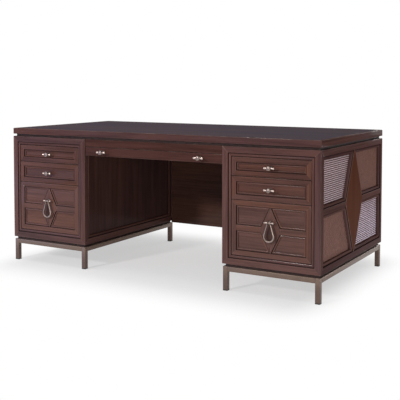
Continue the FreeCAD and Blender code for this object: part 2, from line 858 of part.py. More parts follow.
def pencil_nodes():
    drawer = pencil_drawer
    outline = rectangle(drawer.x0, drawer.x1, drawer.z0, drawer.z1)
    front = [drawer_wall.prism(outline, 0, pencil_front_thickness)]
    bases = [Vector(x, front_face_y, drawer.middle_z)
             for x in (drawer.x0 + pencil_pull_inset, drawer.x1 - pencil_pull_inset)]
    holes = [pull_hole(base, pencil_screw_length) for base in bases]
    pulls = []
    for base in bases:
        pulls += pull(base, small_boss(base), small_bar_stand_off, small_bar_length, pencil_screw_length)
    return {"front": drilled(front, holes), "box": drilled(drawer_box(drawer), holes),
            "slides": drawer_channels(drawer, 1), "pulls": pulls}


def both(solids):
    return solids + mirrored(solids)


def fixed_nodes():
    holes = assembly_holes()
    all_holes = both(holes)
    right = {"face_frame": face_frame(), "outer_frame": outer_frame(), "cane_panels": cane_panels(),
             "inner_side": inner_side(), "back_panel": back_panel(),
             "base_frame": drilled(base_frame(), holes)}
    nodes = {}
    for name, solids in right.items():
        nodes["right_" + name] = solids
        nodes["left_" + name] = mirrored(solids)
    nodes["desk_top"] = drilled(desk_top(), all_holes)
    nodes["top_lipping"] = top_lipping()
    nodes["top_reveal"] = drilled(top_reveal(), all_holes)
    nodes["side_diamonds"] = both([side_diamond()])
    nodes["side_liners"] = both(side_liner())
    nodes["carcase_boards"] = both(drilled(carcase_boards(), holes))
    nodes["runner_battens"] = both(pedestal_battens() + [pencil_hanger()])
    nodes["modesty_panel"] = modesty_panel()
    nodes["apron_rail"] = apron_rail()
    nodes["base_spacers"] = both(drilled(spacer_strips(), holes))
    nodes["floor_glides"] = both(floor_glides())
    nodes["assembly_screws"] = both(assembly_screws())
    channels = []
    for drawer in pedestal_drawers:
        channels += cabinet_channels(drawer)
    nodes["cabinet_slides"] = both(channels) + cabinet_channels(pencil_drawer)
    return nodes


def moving_nodes():
    nodes = {}
    for drawer in pedestal_drawers:
        for end, solids in drawer_nodes(drawer).items():
            nodes["right_%s_%s" % (drawer.name, end)] = solids
            nodes["left_%s_%s" % (drawer.name, end)] = mirrored(solids)
    extras = {"file_drawer_rails": file_rails(file_drawer), "file_bail": bail(),
              "file_slide_middles": middle_channels(file_drawer)}
    for end, solids in extras.items():
        nodes["right_" + end] = solids
        nodes["left_" + end] = mirrored(solids)
    for end, solids in pencil_nodes().items():
        nodes["pencil_drawer_" + end] = solids
    return nodes


def main():
    os.makedirs("parts", exist_ok=True)
    nodes = fixed_nodes()
    nodes.update(moving_nodes())
    for name, solids in nodes.items():
        Part.makeCompound(solids).exportStep("parts/%s.step" % name)
    print("%d nodes, %d solids" % (len(nodes), sum(len(solids) for solids in nodes.values())))


main()
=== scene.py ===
"""Looks of a double-pedestal desk: stained wood, woven cane sides, bronze bases and turned pulls.

Metres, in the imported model's own frame: +Z is up and the drawers face -Y.
"""

import json
import math
import random

import bmesh
import bpy
from bpy.props import FloatProperty, FloatVectorProperty, IntProperty, PointerProperty
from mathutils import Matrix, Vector

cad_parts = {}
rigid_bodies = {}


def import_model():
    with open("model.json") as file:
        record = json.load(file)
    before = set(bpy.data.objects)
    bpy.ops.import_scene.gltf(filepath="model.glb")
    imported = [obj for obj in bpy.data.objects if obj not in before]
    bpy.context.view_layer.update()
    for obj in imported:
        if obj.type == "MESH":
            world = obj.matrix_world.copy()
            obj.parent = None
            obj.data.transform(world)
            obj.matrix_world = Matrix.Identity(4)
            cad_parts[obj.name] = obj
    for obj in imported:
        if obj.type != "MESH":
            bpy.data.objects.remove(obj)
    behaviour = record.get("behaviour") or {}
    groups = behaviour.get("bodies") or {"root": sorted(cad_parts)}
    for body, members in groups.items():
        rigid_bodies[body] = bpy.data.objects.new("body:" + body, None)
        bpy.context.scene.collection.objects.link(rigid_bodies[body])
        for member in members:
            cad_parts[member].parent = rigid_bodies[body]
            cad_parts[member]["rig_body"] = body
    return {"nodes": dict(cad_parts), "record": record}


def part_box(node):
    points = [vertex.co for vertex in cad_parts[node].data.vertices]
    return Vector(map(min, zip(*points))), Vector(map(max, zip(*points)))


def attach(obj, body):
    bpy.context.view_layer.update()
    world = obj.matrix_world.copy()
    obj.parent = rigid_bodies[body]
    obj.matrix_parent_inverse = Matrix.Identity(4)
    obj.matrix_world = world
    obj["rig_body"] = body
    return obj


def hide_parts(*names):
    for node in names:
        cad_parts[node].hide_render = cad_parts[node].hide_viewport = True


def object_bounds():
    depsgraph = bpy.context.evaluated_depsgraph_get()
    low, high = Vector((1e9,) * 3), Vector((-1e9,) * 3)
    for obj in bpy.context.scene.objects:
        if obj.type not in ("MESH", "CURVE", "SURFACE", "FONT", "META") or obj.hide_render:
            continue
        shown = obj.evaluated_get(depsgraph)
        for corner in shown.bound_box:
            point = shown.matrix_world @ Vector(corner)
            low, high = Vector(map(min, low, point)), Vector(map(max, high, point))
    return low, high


bl_info = {
    "name": "Desk looks",
    "version": (1, 0, 0),
    "blender": (4, 5, 0),
    "location": "3D View > Sidebar > Desk",
    "description": "Dresses the packed desk with wood, cane, bronze and turned pulls",
    "category": "Object",
}

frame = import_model()
cad_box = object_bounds()

SIDES = {"right": 1, "left": -1}
PEDESTAL_DRAWERS = ("top", "middle", "file")


def length(name, description, default):
    return FloatProperty(name=name, description=description, default=default, min=0.0, unit="LENGTH",
                         precision=4)


def colour(name, description, default):
    return FloatVectorProperty(name=name, description=description, default=default, size=3, min=0.0,
                               max=1.0, subtype="COLOR")


def watts(name, description, default):
    return FloatProperty(name=name, description=description, default=default, min=0.0, unit="POWER")


class DeskSizes(bpy.types.PropertyGroup):
    """Sizes of the joinery that the frame's boxes don't give."""

    arris: length("Arris", "Round along the edges of the boards", 0.0010)
    band: length("Frame band", "Flat width of a carcase frame's members", 0.031)
    quirk: length("Frame quirk", "Width of the groove beside a frame's bead", 0.003)
    quirk_depth: length("Frame quirk depth", "Depth of that groove", 0.006)
    bead: length("Frame bead", "Width of the bead round a frame's opening", 0.013)
    face_bead_drop: length("Face bead drop", "How far the face frame's bead lies below its band", 0.0015)
    side_bead_drop: length("Side bead drop", "How far the other frames' beads lie below their band", 0.003)
    bead_crown: length("Bead crown", "Height of a frame bead's round", 0.004)
    flat_panel: length("Flat panel", "Thickness of the panels in the inner sides and backs", 0.010)
    cross_rail: length("Cross rail", "Width of the rails across the cane sides", 0.028)
    side_diamond: length("Side diamond", "Half the width of the diamond on a cane side", 0.124)
    side_diamond_tip: length("Side diamond tip", "Width of that diamond's cut-off tips", 0.011)
    front_relief: length("Front relief", "How far a drawer's field lies below its frame", 0.008)
    front_band: length("Front band", "Flat width of a drawer front's frame", 0.025)
    front_quirk: length("Front quirk", "Width of the groove beside a drawer's bead", 0.002)
    front_quirk_depth: length("Front quirk depth", "Depth of that groove", 0.005)
    front_bead: length("Front bead", "Width of the bead round a drawer's field", 0.009)
    front_bead_drop: length("Front bead drop", "How far a drawer's bead lies below its frame", 0.003)
    front_bead_crown: length("Front bead crown", "Height of a drawer bead's round", 0.003)
    mid_rail: length("Middle rail", "Width of the rails beside a file drawer's diamond", 0.028)
    file_diamond: length("File diamond", "Half the width of a file drawer's diamond", 0.055)
    file_diamond_tip: length("File diamond tip", "Width of that diamond's cut-off tips", 0.002)
    box_wall: length("Drawer side", "Thickness of the drawer boxes' sides and ends", 0.012)
    box_bottom: length("Drawer bottom", "Thickness of the drawer boxes' bottoms", 0.006)
    pin_pitch: length("Pin pitch", "Distance between the dovetail pins in the drawer corners", 0.024)
    pin: length("Pin", "Width of a dovetail pin at the corner", 0.005)
    pin_root: length("Pin root", "Width of a dovetail pin at its root", 0.009)
    screw: length("Screw", "Diameter of the assembly screws' shanks", 0.005)
    screw_head: length("Assembly screw head", "Diameter of the assembly screws' heads", 0.009)
    top_screw: length("Top screw", "Length of the screws that hold the top", 0.046)
    top_screw_pitch: length("Top screw pitch", "Distance between a pair of those screws", 0.500)
    top_screw_inset: length("Top screw inset", "Distance from the outer side to those screws", 0.044)
    top_screw_inner_inset: length("Top screw inner inset", "Distance from the inner side to those screws",
                                  0.030)
    base_screw: length("Base screw", "Length of the screws that hold the bases", 0.029)
    base_screw_inset: length("Base screw inset", "Distance from a base's corner to those screws", 0.0405)
    carcase_board: length("Carcase board", "Thickness of the boards inside the pedestals", 0.018)
    tube: length("Base tube", "Side of the base frames' square tube", 0.025)
    tube_round: length("Tube round", "Radius of the tube's corners", 0.0022)
    corner_plate: length("Corner plate", "Side of the plates in the base frames' corners", 0.055)
    corner_plate_thickness: length("Corner plate thickness", "Thickness of those plates", 0.004)
    reed_pitch: length("Reed pitch", "Distance between the cane's reeds", 0.0100)
    reed: length("Reed", "Diameter of a reed", 0.0055)
    lace_pitch: length("Lace pitch", "Distance between the strands laced across the reeds", 0.0080)
    lace: length("Lace", "Diameter of a laced strand", 0.0012)
    weave_lift: length("Weave lift", "How far a reed bends over and under the laces", 0.0004)
    pull_length: length("Pull", "How far a small pull stands out", 0.036)
    small_stand_off: length("Small stand-off", "How far a small pull's arms stand off", 0.027)
    file_stand_off: length("File stand-off", "How far a file pull's arms stand off", 0.017)
    boss: length("Boss", "Diameter of a small pull's drum", 0.022)
    boss_head: length("Boss head", "Distance from the front to the drum", 0.018)
    boss_neck: length("Boss neck", "Diameter of the neck behind the drum", 0.012)
    rosette: length("Rosette", "Diameter of a small pull's rosette", 0.017)
    rosette_thickness: length("Rosette thickness", "Thickness of the rosettes", 0.003)
    turned_edge: length("Turned edge", "Width of the eased edges and grooves on turned metal", 0.0012)
    small_bar: length("Small bar", "Length of a small pull's bar", 0.058)
    file_bar: length("File bar", "Length of a file pull's bar", 0.054)
    file_post: length("File post", "Diameter of a file pull's post", 0.010)
    file_post_length: length("File post length", "Length of that post", 0.022)
    file_rosette: length("File rosette", "Diameter of a file pull's rosette", 0.020)
    arm_neck: length("Arm neck", "Diameter of an arm beside the boss", 0.008)
    arm_neck_run: length("Arm neck run", "Length of that neck", 0.014)
    arm_tip: length("Arm tip", "Diameter of the ball at an arm's end", 0.012)
    pull_screw_head: length("Screw head", "Diameter of the pulls' screw heads", 0.008)
    pull_screw_height: length("Screw head height", "Height of those heads", 0.003)
    bail_width: length("Bail width", "Width of a bail", 0.059)
    bail_drop: length("Bail drop", "Length of a bail below its axis", 0.095)
    bail_rod: length("Bail rod", "Diameter of a bail's rod at the bottom", 0.0096)
    bail_rod_top: length("Bail rod top", "Diameter of that rod at the eyes", 0.0058)
    bail_root: length("Bail root", "Height from the rod's end to the axis", 0.0066)
    bail_eye: length("Bail eye", "Diameter of a bail's eyes", 0.016)
    bail_bore: length("Bail bore", "Diameter of the eyes' holes", 0.0086)
    eye_thickness: length("Eye thickness", "Thickness of the eyes", 0.005)
    eye_reach: length("Eye reach", "Distance from the middle to an eye", 0.0079)
    turned_sides: IntProperty(name="Turned sides", description="Facets round a turned pull", default=40,
                              min=12)


class DeskColours(bpy.types.PropertyGroup):
    """Colours of the finishes."""

    wood: colour("Frame wood", "Stain on the frames' pale streaks", (0.132, 0.070, 0.063))
    wood_dark: colour("Frame wood streak", "Stain in the frames' dark streaks", (0.053, 0.027, 0.026))
    front: colour("Front wood", "Stain on the drawer fronts' pale streaks", (0.150, 0.075, 0.059))
    front_dark: colour("Front wood streak", "Stain in the drawer fronts' dark streaks", (0.056, 0.028, 0.023))
    wood_red: colour("Red wood", "Stain on the pale streaks of the side diamonds", (0.108, 0.039, 0.021))
    wood_red_dark: colour("Red wood streak", "Stain in the dark streaks of the side diamonds",
                          (0.078, 0.028, 0.016))
    # The top's stain has a blue-violet cast: partly the wood's colour, partly a painted reflection
    wood_top: colour("Top", "Stain on the top's pale streaks", (0.057, 0.037, 0.052))
    wood_top_dark: colour("Top streak", "Stain in the top's dark streaks", (0.039, 0.025, 0.035))
    # The rubbed arris colour is partly worn stain and partly a painted highlight on the edges
    worn_and_highlit_edge: colour("Rubbed arris", "Wood where the stain is rubbed on the edges", (0.230, 0.160, 0.140))
    # The recess colour is painted shade: mixed into quirks, gaps and kneehole panels, and on the shadow gap
    # strips
    recess: colour("Recess", "Ebonised strips in the shadow gaps", (0.020, 0.013, 0.012))
    maple: colour("Drawer wood", "Clear-finished wood of the drawer boxes", (0.520, 0.350, 0.205))
    maple_dark: colour("Drawer wood streak", "Dark streaks in the drawer boxes", (0.390, 0.235, 0.125))
    # The carcase colour is darkened as painted shade, so the inside reads dark through the drawer gaps
    carcase: colour("Carcase wood", "Brown-washed wood inside the pedestals", (0.150, 0.090, 0.062))
    carcase_dark: colour("Carcase wood streak", "Dark streaks inside the pedestals", (0.095, 0.055, 0.038))
    # The pale cane is the brown reed with a painted sheen, pale and lilac, on the level reeds
    cane_pale: colour("Pale cane", "Reeds that lie level", (0.780, 0.645, 0.715))
    cane_brown: colour("Brown cane", "Reeds that stand upright", (0.214, 0.106, 0.082))
    # The cane back is near black as painted shade between the reeds
    cane_back: colour("Cane back", "Board behind the reeds", (0.036, 0.020, 0.018))
    bronze: colour("Bronze", "Brushed tube of the bases", (0.180, 0.128, 0.104))
    pull: colour("Pull metal", "Polished metal of the pulls", (0.690, 0.560, 0.505))
    pull_dark: colour("Pull patina", "Patina on the pulls' bosses", (0.105, 0.076, 0.064))
    zinc: colour("Zinc", "Plated steel of the slides and screws", (0.520, 0.530, 0.545))
    aluminium: colour("Aluminium", "Rails for hanging files", (0.700, 0.705, 0.710))
    plastic: colour("Glide plastic", "Moulded pads under the legs", (0.022, 0.021, 0.020))


class DeskStage(bpy.types.PropertyGroup):
    """Camera, light and floor."""

    camera_place: FloatVectorProperty(name="Camera", description="Where the camera stands", size=3,
                                      default=(2.288866, -3.893712, 1.041443), subtype="TRANSLATION")
    camera_pitch: FloatProperty(name="Pitch", description="How far the camera looks down",
                                default=math.radians(3.0), subtype="ANGLE")
    camera_turn: FloatProperty(name="Turn", description="How far the camera turns to the left of +Y",
                               default=0.535, subtype="ANGLE")
    lens: FloatProperty(name="Lens", description="Focal length on a 36 mm sensor", default=72.32,
                        unit="CAMERA")
    shift_x: FloatProperty(name="Shift X", description="Sideways shift of the frame", default=0.0245)
    shift_y: FloatProperty(name="Shift Y", description="Upward shift of the frame", default=-0.1966)
    ambient: FloatProperty(name="Ambient", description="Strength of the world's even light", default=0.28)
    key_power: watts("Key lamp", "Power of the lamp at the front left", 214.0)
    warm_power: watts("Warm lamp", "Power of the lamp at the front right", 54.0)
    overhead_power: watts("Overhead lamp", "Power of the lamp above the desk", 34.0)
    side_power: watts("Side lamp", "Power of the low lamp on the cane side", 9.5)
    back_power: watts("Back lamp", "Power of the soft lamp behind the desk", 55.0)
    sheen_power: watts("Sheen lamp", "Power of the low cool lamp at the left", 17.0)
    floor: colour("Floor", "Colour of the floor near the desk", (0.900, 0.900, 0.900))
    floor_clear: length("Clear floor", "Distance before and behind the desk where the floor is plain white",
                        0.38)
    floor_clear_side: length("Clear floor beside",
                             "How far inside the desk's ends that fade starts, and how far outside it ends",
                             0.14)
    floor_glow: FloatProperty(name="Floor glow", description="Share of plain white in the floor's shadow",
                              default=0.52, subtype="FACTOR")


# Shader sums

class Wire:
    """One socket of a shader tree. Sums on wires add Math nodes."""

    def __init__(self, tree, socket=None):
        self.tree = tree
        self.socket = socket

    def node(self, kind, settings=None, inputs=None, out=0):
        """Add any node: its settings come first, then the values or links of its sockets."""
        made = self.tree.nodes.new(kind)
        for name, value in (settings or {}).items():
            setattr(made, name, value)
        for name, value in (inputs or {}).items():
            socket = find_socket(made.inputs, name)
            if isinstance(value, Wire):
                self.tree.links.new(value.socket, socket)
            else:
                socket.default_value = value
        return Wire(self.tree, find_socket(made.outputs, out) if made.outputs else None)

    def sum(self, operation, *values, clamp=False):
        settings = {"operation": operation, "use_clamp": clamp}
        return self.node("ShaderNodeMath", settings, dict(enumerate(values)))

    def __add__(self, other):
        return self.sum("ADD", self, other)

    def __radd__(self, other):
        return self.sum("ADD", other, self)

    def __sub__(self, other):
        return self.sum("SUBTRACT", self, other)

    def __rsub__(self, other):
        return self.sum("SUBTRACT", other, self)

    def __mul__(self, other):
        return self.sum("MULTIPLY", self, other)

    def __rmul__(self, other):
        return self.sum("MULTIPLY", other, self)

    def clamped(self):
        return self.sum("ADD", self, 0.0, clamp=True)

    def vector_sum(self, operation, *values, out=0):
        return self.node("ShaderNodeVectorMath", {"operation": operation}, dict(enumerate(values)), out)

    def stretched(self, x, y, z):
        return self.vector_sum("MULTIPLY", self, (x, y, z))

    def beyond(self, x, y, z):
        """How far a place lies from the middle planes, less these distances."""
        return self.vector_sum("SUBTRACT", self.vector_sum("ABSOLUTE", self), (x, y, z))

    def size(self):
        return self.vector_sum("LENGTH", self, out="Value")

    def noise(self, detail=2.0, roughness=0.5, distortion=0.0):
        """Noise at this place."""
        inputs = {"Vector": self, "Scale": 1.0, "Detail": detail, "Roughness": roughness,
                  "Distortion": distortion}
        return self.node("ShaderNodeTexNoise", {}, inputs, "Fac")

    def ramp(self, low, high):
        """From 0 at low to 1 at high."""
        return self.node("ShaderNodeMapRange", {"interpolation_type": "SMOOTHSTEP"},
                         {"Value": self, "From Min": low, "From Max": high}, "Result")

    def blended(self, way, share, first, second):
        settings = {"data_type": "RGBA", "blend_type": way}
        inputs = {"Factor_Float": share, "A_Color": opaque(first), "B_Color": opaque(second)}
        return self.node("ShaderNodeMix", settings, inputs, "Result_Color")

    def mix(self, first, second):
        """One colour at 0, the other at 1."""
        return self.blended("MIX", self, first, second)

    def tinted(self, tint):
        """This colour times another."""
        return self.blended("MULTIPLY", 1.0, self, tint)

    def bump(self, strength, depth):
        return self.node("ShaderNodeBump", {}, {"Height": self, "Strength": strength, "Distance": depth})


def find_socket(sockets, key):
    if isinstance(key, int):
        return sockets[key]
    for socket in sockets:
        if socket.identifier == key:
            return socket
    return sockets[key]


def opaque(value):
    """A colour with its alpha, or a wire as it is."""
    if isinstance(value, Wire):
        return value
    return (*value, 1.0)


def shade(tint, share):
    """A lighter or darker shade of a colour."""
    return [share * part for part in tint]


def new_material(name):
    material = bpy.data.materials.new("desk_" + name)
    material.use_nodes = True
    material.node_tree.nodes.clear()
    return material, Wire(material.node_tree)


def new_object(name, data):
    obj = bpy.data.objects.new(name, data)
    bpy.context.scene.collection.objects.link(obj)
    return obj


def finish_surface(start, inputs):
    """A principled surface on the material's output."""
    surface = start.node("ShaderNodeBsdfPrincipled", {}, inputs, "BSDF")
    start.node("ShaderNodeOutputMaterial", {}, {"Surface": surface})


# Finishes

def board_grain(start):
    """Place along and across a board's grain, from the board's own attribute."""
    return start.node("ShaderNodeAttribute", {"attribute_name": "grain"}, out="Vector")


def number_on(start, name):
    return start.node("ShaderNodeAttribute", {"attribute_name": name}, out="Fac")


def object_place(start):
    return start.node("ShaderNodeTexCoord", out="Object")


def height_above_floor(start):
    return start.node("ShaderNodeSeparateXYZ", {}, {"Vector": object_place(start)}, "Z")


# Painted shadow behind a bail: how far it lies below the bail's middle, and where it ends and is full, in
# shares of the bail's half width and half height
BAIL_SHADOW_DROP = 0.012
BAIL_SHADOW_END = 1.15
BAIL_SHADOW_FULL = 0.45


def painted_bail_shadow(start):
    """Painted shadow: 1 on the wood behind the middle of a hanging bail, fading out under its rod."""
    low, high = right_box("file_bail")
    middle, half = (low + high) / 2, (high - low) / 2
    place = object_place(start).beyond(middle.x, 0.0, middle.z - BAIL_SHADOW_DROP)
    return place.stretched(1.0 / half.x, 0.0, 1.0 / half.z).size().ramp(BAIL_SHADOW_END, BAIL_SHADOW_FULL)


def stained_wood(name, colours, pale, deep, roughness, gloss, bail_wax):
    """Close-grained wood under stain and satin lacquer, its arrises lightened partly by wear and partly as
    painted highlight, and painted shade in its quirks.

    gloss is the lacquer's weight, which grows towards the floor, and the last number is the share of
    painted shadow behind the bails.
    """
    material, start = new_material(name)
    grain = board_grain(start)
    tone = number_on(start, "tone")
    arris = number_on(start, "arris")
    glaze = number_on(start, "glaze")
    drift = grain.stretched(0.9, 5.0, 5.0).noise(detail=2.0)
    figure = grain.stretched(1.6, 26.0, 26.0).noise(detail=3.0, distortion=0.6)
    streak = grain.stretched(3.2, 130.0, 130.0).noise(detail=4.0, roughness=0.62)
    pores = grain.stretched(26.0, 1100.0, 1100.0).noise(detail=1.0)
    fine = pores.ramp(0.50, 0.72)
    dark = (0.08 + figure.ramp(0.34, 0.68) * 0.36 + streak.ramp(0.30, 0.72) * 0.40 + fine * 0.22).clamped()
    stain = dark.mix(pale, deep)
    stain = stain.tinted(drift.ramp(0.35, 0.65).mix((0.92, 0.94, 1.01), (1.09, 1.01, 0.94)))
    stain = stain.tinted(tone.mix((0.56, 0.45, 0.43), (1.44, 1.51, 1.52)))
    highlight_dashes = grain.stretched(16.0, 4.0, 4.0).noise(detail=2.0).ramp(0.46, 0.60)
    # Lighter arrises, in dashes: partly rubbed stain, partly painted highlight
    rubbed_and_highlit = (arris * (0.05 + 0.30 * streak + 0.30 * highlight_dashes)).clamped()
    stain = rubbed_and_highlit.mix(stain, colours.worn_and_highlit_edge)
    # Painted shade in quirks, gaps and the kneehole
    stain = (0.9 * glaze).mix(stain, colours.recess)
    # Painted shadow on the wood behind the bails
    if bail_wax:
        stain = (bail_wax * painted_bail_shadow(start)).mix(stain, colours.recess)
    polish = roughness + 0.08 * streak + 0.05 * figure - 0.10 * arris
    low = height_above_floor(start).ramp(0.72, 0.15)
    wax = gloss * (0.3 + 2.2 * low) + arris * (0.15 + 0.45 * highlight_dashes)
    height = pores.ramp(0.30, 0.62) + 0.5 * streak
    finish_surface(start, {"Base Color": stain, "Roughness": polish, "IOR": 1.45, "Specular IOR Level": 0.0,
                           "Coat Weight": wax.clamped(), "Coat Roughness": 0.16,
                           "Normal": height.bump(0.10, 0.0003)})
    return material


def dark_wood(colours):
    """Strips in the shadow gaps, coloured dark as painted shade: dull, with a trace of level grain."""
    material, start = new_material("dark_wood")
    place = object_place(start)
    streak = place.stretched(40.0, 40.0, 160.0).noise(detail=3.0)
    stain = streak.ramp(0.3, 0.7).mix(shade(colours.recess, 1.4), shade(colours.recess, 2.6))
    finish_surface(start, {"Base Color": stain, "Roughness": 0.55 + 0.15 * streak, "IOR": 1.45,
                           "Specular IOR Level": 0.1, "Normal": streak.bump(0.08, 0.0003)})
    return material


def clear_wood(name, pale, deep, place_of):
    """Hardwood under a clear finish, as on the drawer boxes and inside the carcase."""
    material, start = new_material(name)
    grain = place_of(start)
    tone = number_on(start, "tone")
    figure = grain.stretched(2.0, 30.0, 30.0).noise(detail=3.0, distortion=1.2)
    streak = grain.stretched(6.0, 260.0, 260.0).noise(detail=3.0)
    dark = (0.6 * figure.ramp(0.35, 0.75) + 0.4 * streak.ramp(0.35, 0.7)).clamped()
    wood = dark.mix(pale, deep)
    wood = (tone * 0.35).mix(wood, deep)
    end_grain = tone.ramp(0.7, 1.0) * (0.45 + 0.3 * streak)
    wood = end_grain.mix(wood, shade(deep, 0.42))
    finish_surface(start, {"Base Color": wood, "Roughness": 0.42 + 0.12 * streak, "IOR": 1.45,
                           "Normal": streak.bump(0.08, 0.0003)})
    return material


def place_along_y(start):
    """Object coordinates with the grain along the desk's depth."""
    parts = start.node("ShaderNodeSeparateXYZ", {}, {"Vector": object_place(start)}, "Y")
    node = parts.socket.node
    inputs = {"X": parts, "Y": Wire(start.tree, node.outputs["X"]), "Z": Wire(start.tree, node.outputs["Z"])}
    return start.node("ShaderNodeCombineXYZ", {}, inputs)


def cane(name, tint, along):
    """Split reed with a dry sheen, its fibres along the strand, with a painted sheen that pales it towards
    the floor.
    """
    material, start = new_material(name)
    place = object_place(start)
    across = [60.0 if part else 420.0 for part in along]
    fibre = place.stretched(*across).noise(detail=3.0)
    blotch = place.stretched(9.0, 9.0, 9.0).noise(detail=2.0)
    reed = fibre.ramp(0.25, 0.75).mix(shade(tint, 0.72), shade(tint, 1.22))
    reed = (blotch.ramp(0.35, 0.7) * 0.35).mix(reed, shade(tint, 0.80))
    # Painted sheen: paler and bluer towards the floor, darker near the top
    low = height_above_floor(start).ramp(0.62, 0.18)
    reed = reed.tinted(low.mix((0.90, 0.86, 0.84), (1.16, 1.24, 1.32)))
    finish_surface(start, {"Base Color": reed, "Roughness": 0.46 + 0.2 * fibre, "Specular IOR Level": 0.15,
                           "Normal": fibre.bump(0.12, 0.0004)})
    return material


# Heights between which a leg takes on the tint of its foot
FOOT_START = 0.105
FOOT_END = 0.060
WHITE = (1.0, 1.0, 1.0)


def brushed_metal(name, tint, roughness, brush, metallic, foot):
    """Metal with fine brush marks and a slow change of tone, bare or under a metallic lacquer.

    brush is how closely the marks lie along each axis, and foot tints what is near the floor.
    """
    material, start = new_material(name)
    place = object_place(start)
    marks = place.stretched(*brush).noise(detail=3.0, roughness=0.6)
    cloud = place.stretched(11.0, 11.0, 11.0).noise(detail=3.0)
    skin = marks.ramp(0.3, 0.7).mix(shade(tint, 0.86), shade(tint, 1.08))
    skin = (cloud.ramp(0.45, 0.72) * 0.5).mix(skin, shade(tint, 0.8))
    skin = skin.tinted(height_above_floor(start).ramp(FOOT_START, FOOT_END).mix(WHITE, foot))
    finish_surface(start, {"Base Color": skin, "Metallic": metallic, "Roughness": roughness + 0.12 * marks,
                           "Specular IOR Level": 0.1, "Normal": marks.bump(0.05, 0.0002)})
    return material


def pull_metal(colours):
    """Warm polished metal, with patina left on the bosses and in the grooves."""
    material, start = new_material("pull_metal")
    place = object_place(start)
    tone = number_on(start, "tone")
    cloud = place.stretched(160.0, 160.0, 160.0).noise(detail=3.0)
    marks = place.stretched(900.0, 900.0, 900.0).noise(detail=2.0)
    bright = (tone * 0.85 + (cloud - 0.5) * 0.5).clamped()
    skin = bright.mix(colours.pull_dark, colours.pull)
    polish = 0.36 - 0.12 * bright + 0.08 * marks
    finish_surface(start, {"Base Color": skin, "Metallic": 1.0, "Roughness": polish,
                           "Normal": marks.bump(0.04, 0.0002)})
    return material


def glide_plastic(colours):
    material, start = new_material("glide_plastic")
    grain = object_place(start).stretched(900.0, 900.0, 900.0).noise(detail=2.0)
    skin = grain.mix(colours.plastic, shade(colours.plastic, 1.6))
    finish_surface(start, {"Base Color": skin, "Roughness": 0.48 + 0.15 * grain,
                           "Normal": grain.bump(0.1, 0.0002)})
    return material


# Stained woods: the name of their colour, roughness, gloss and share of painted shadow behind the bails
STAINED_WOODS = {
    "stained_wood": ("wood", 0.34, 0.12, 0.0),
    "side_wood": ("wood", 0.40, 0.03, 0.0),
    "front_wood": ("front", 0.34, 0.12, 0.5),
    "diamond_wood": ("wood_red", 0.40, 0.03, 0.0),
    "top_wood": ("wood_top", 0.46, 0.20, 0.0),
}
# Clear woods: the name of their colour, and where their grain comes from
CLEAR_WOODS = {"drawer_wood": ("maple", board_grain), "carcase_wood": ("carcase", place_along_y)}
# Canes: the axis of their fibres
CANES = {"cane_pale": (0, 1, 0), "cane_brown": (0, 0, 1), "cane_back": (0, 1, 0)}
# Metals: the name of their colour, roughness, brush marks, metallic share and the tint of their foot
METALS = {
    "bronze": ("bronze", 0.30, (30.0, 30.0, 700.0), 0.4, (0.82, 0.80, 0.84)),
    "slide_steel": ("zinc", 0.34, (300.0, 12.0, 300.0), 1.0, WHITE),
    "rail_aluminium": ("aluminium", 0.30, (400.0, 8.0, 400.0), 1.0, WHITE),
}
OTHER_FINISHES = {"dark_wood": dark_wood, "pull_metal": pull_metal, "glide_plastic": glide_plastic}


def make_finish(name, colours):
    if name in STAINED_WOODS:
        tint, *rest = STAINED_WOODS[name]
        return stained_wood(name, colours, getattr(colours, tint), getattr(colours, tint + "_dark"), *rest)
    if name in CLEAR_WOODS:
        tint, place_of = CLEAR_WOODS[name]
        return clear_wood(name, getattr(colours, tint), getattr(colours, tint + "_dark"), place_of)
    if name in CANES:
        return cane(name, getattr(colours, name), CANES[name])
    if name in METALS:
        tint, *rest = METALS[name]
        return brushed_metal(name, getattr(colours, tint), *rest)
    return OTHER_FINISHES[name](colours)


made_finishes = {}


def finish(name):
    """A finish by name, made the first time it is asked for."""
    if name not in made_finishes:
        made_finishes[name] = make_finish(name, bpy.context.scene.desk_colours)
    return made_finishes[name]


# Shapes

class Wall:
    """A flat wall: u runs along it, z up it, and depth into it from its outer face."""

    def __init__(self, origin, along, inward):
        self.origin = Vector(origin)
        self.along = Vector(along)
        self.inward = Vector(inward)

    def at(self, u, z, depth=0.0):
        return self.origin + self.along * u + Vector((0, 0, z)) + self.inward * depth

    def outline(self, corners, depth):
        return [self.at(u, z, depth) for u, z in corners]


def rectangle(u0, u1, z0, z1, inset_u=0.0, inset_z=0.0):
    return [(u0 + inset_u, z0 + inset_z), (u1 - inset_u, z0 + inset_z),
            (u1 - inset_u, z1 - inset_z), (u0 + inset_u, z1 - inset_z)]


def inset_outline(outline, distance):
    """A convex outline with every side moved inwards by the same distance."""
    sides = list(zip(outline, outline[1:] + outline[:1]))
    area = sum(u0 * z1 - u1 * z0 for (u0, z0), (u1, z1) in sides)
    lines = []
    for (u0, z0), (u1, z1) in sides:
        along = (u1 - u0, z1 - z0)
        shift = math.copysign(distance, area) / math.hypot(*along)
        lines.append((u0 - along[1] * shift, z0 + along[0] * shift, *along))
    corners = []
    for i, (u, z, du, dz) in enumerate(lines):
        back_u, back_z, back_du, back_dz = lines[i - 1]
        reach = ((u - back_u) * dz - (z - back_z) * du) / (back_du * dz - back_dz * du)
        corners.append((back_u + back_du * reach, back_z + back_dz * reach))
    return corners


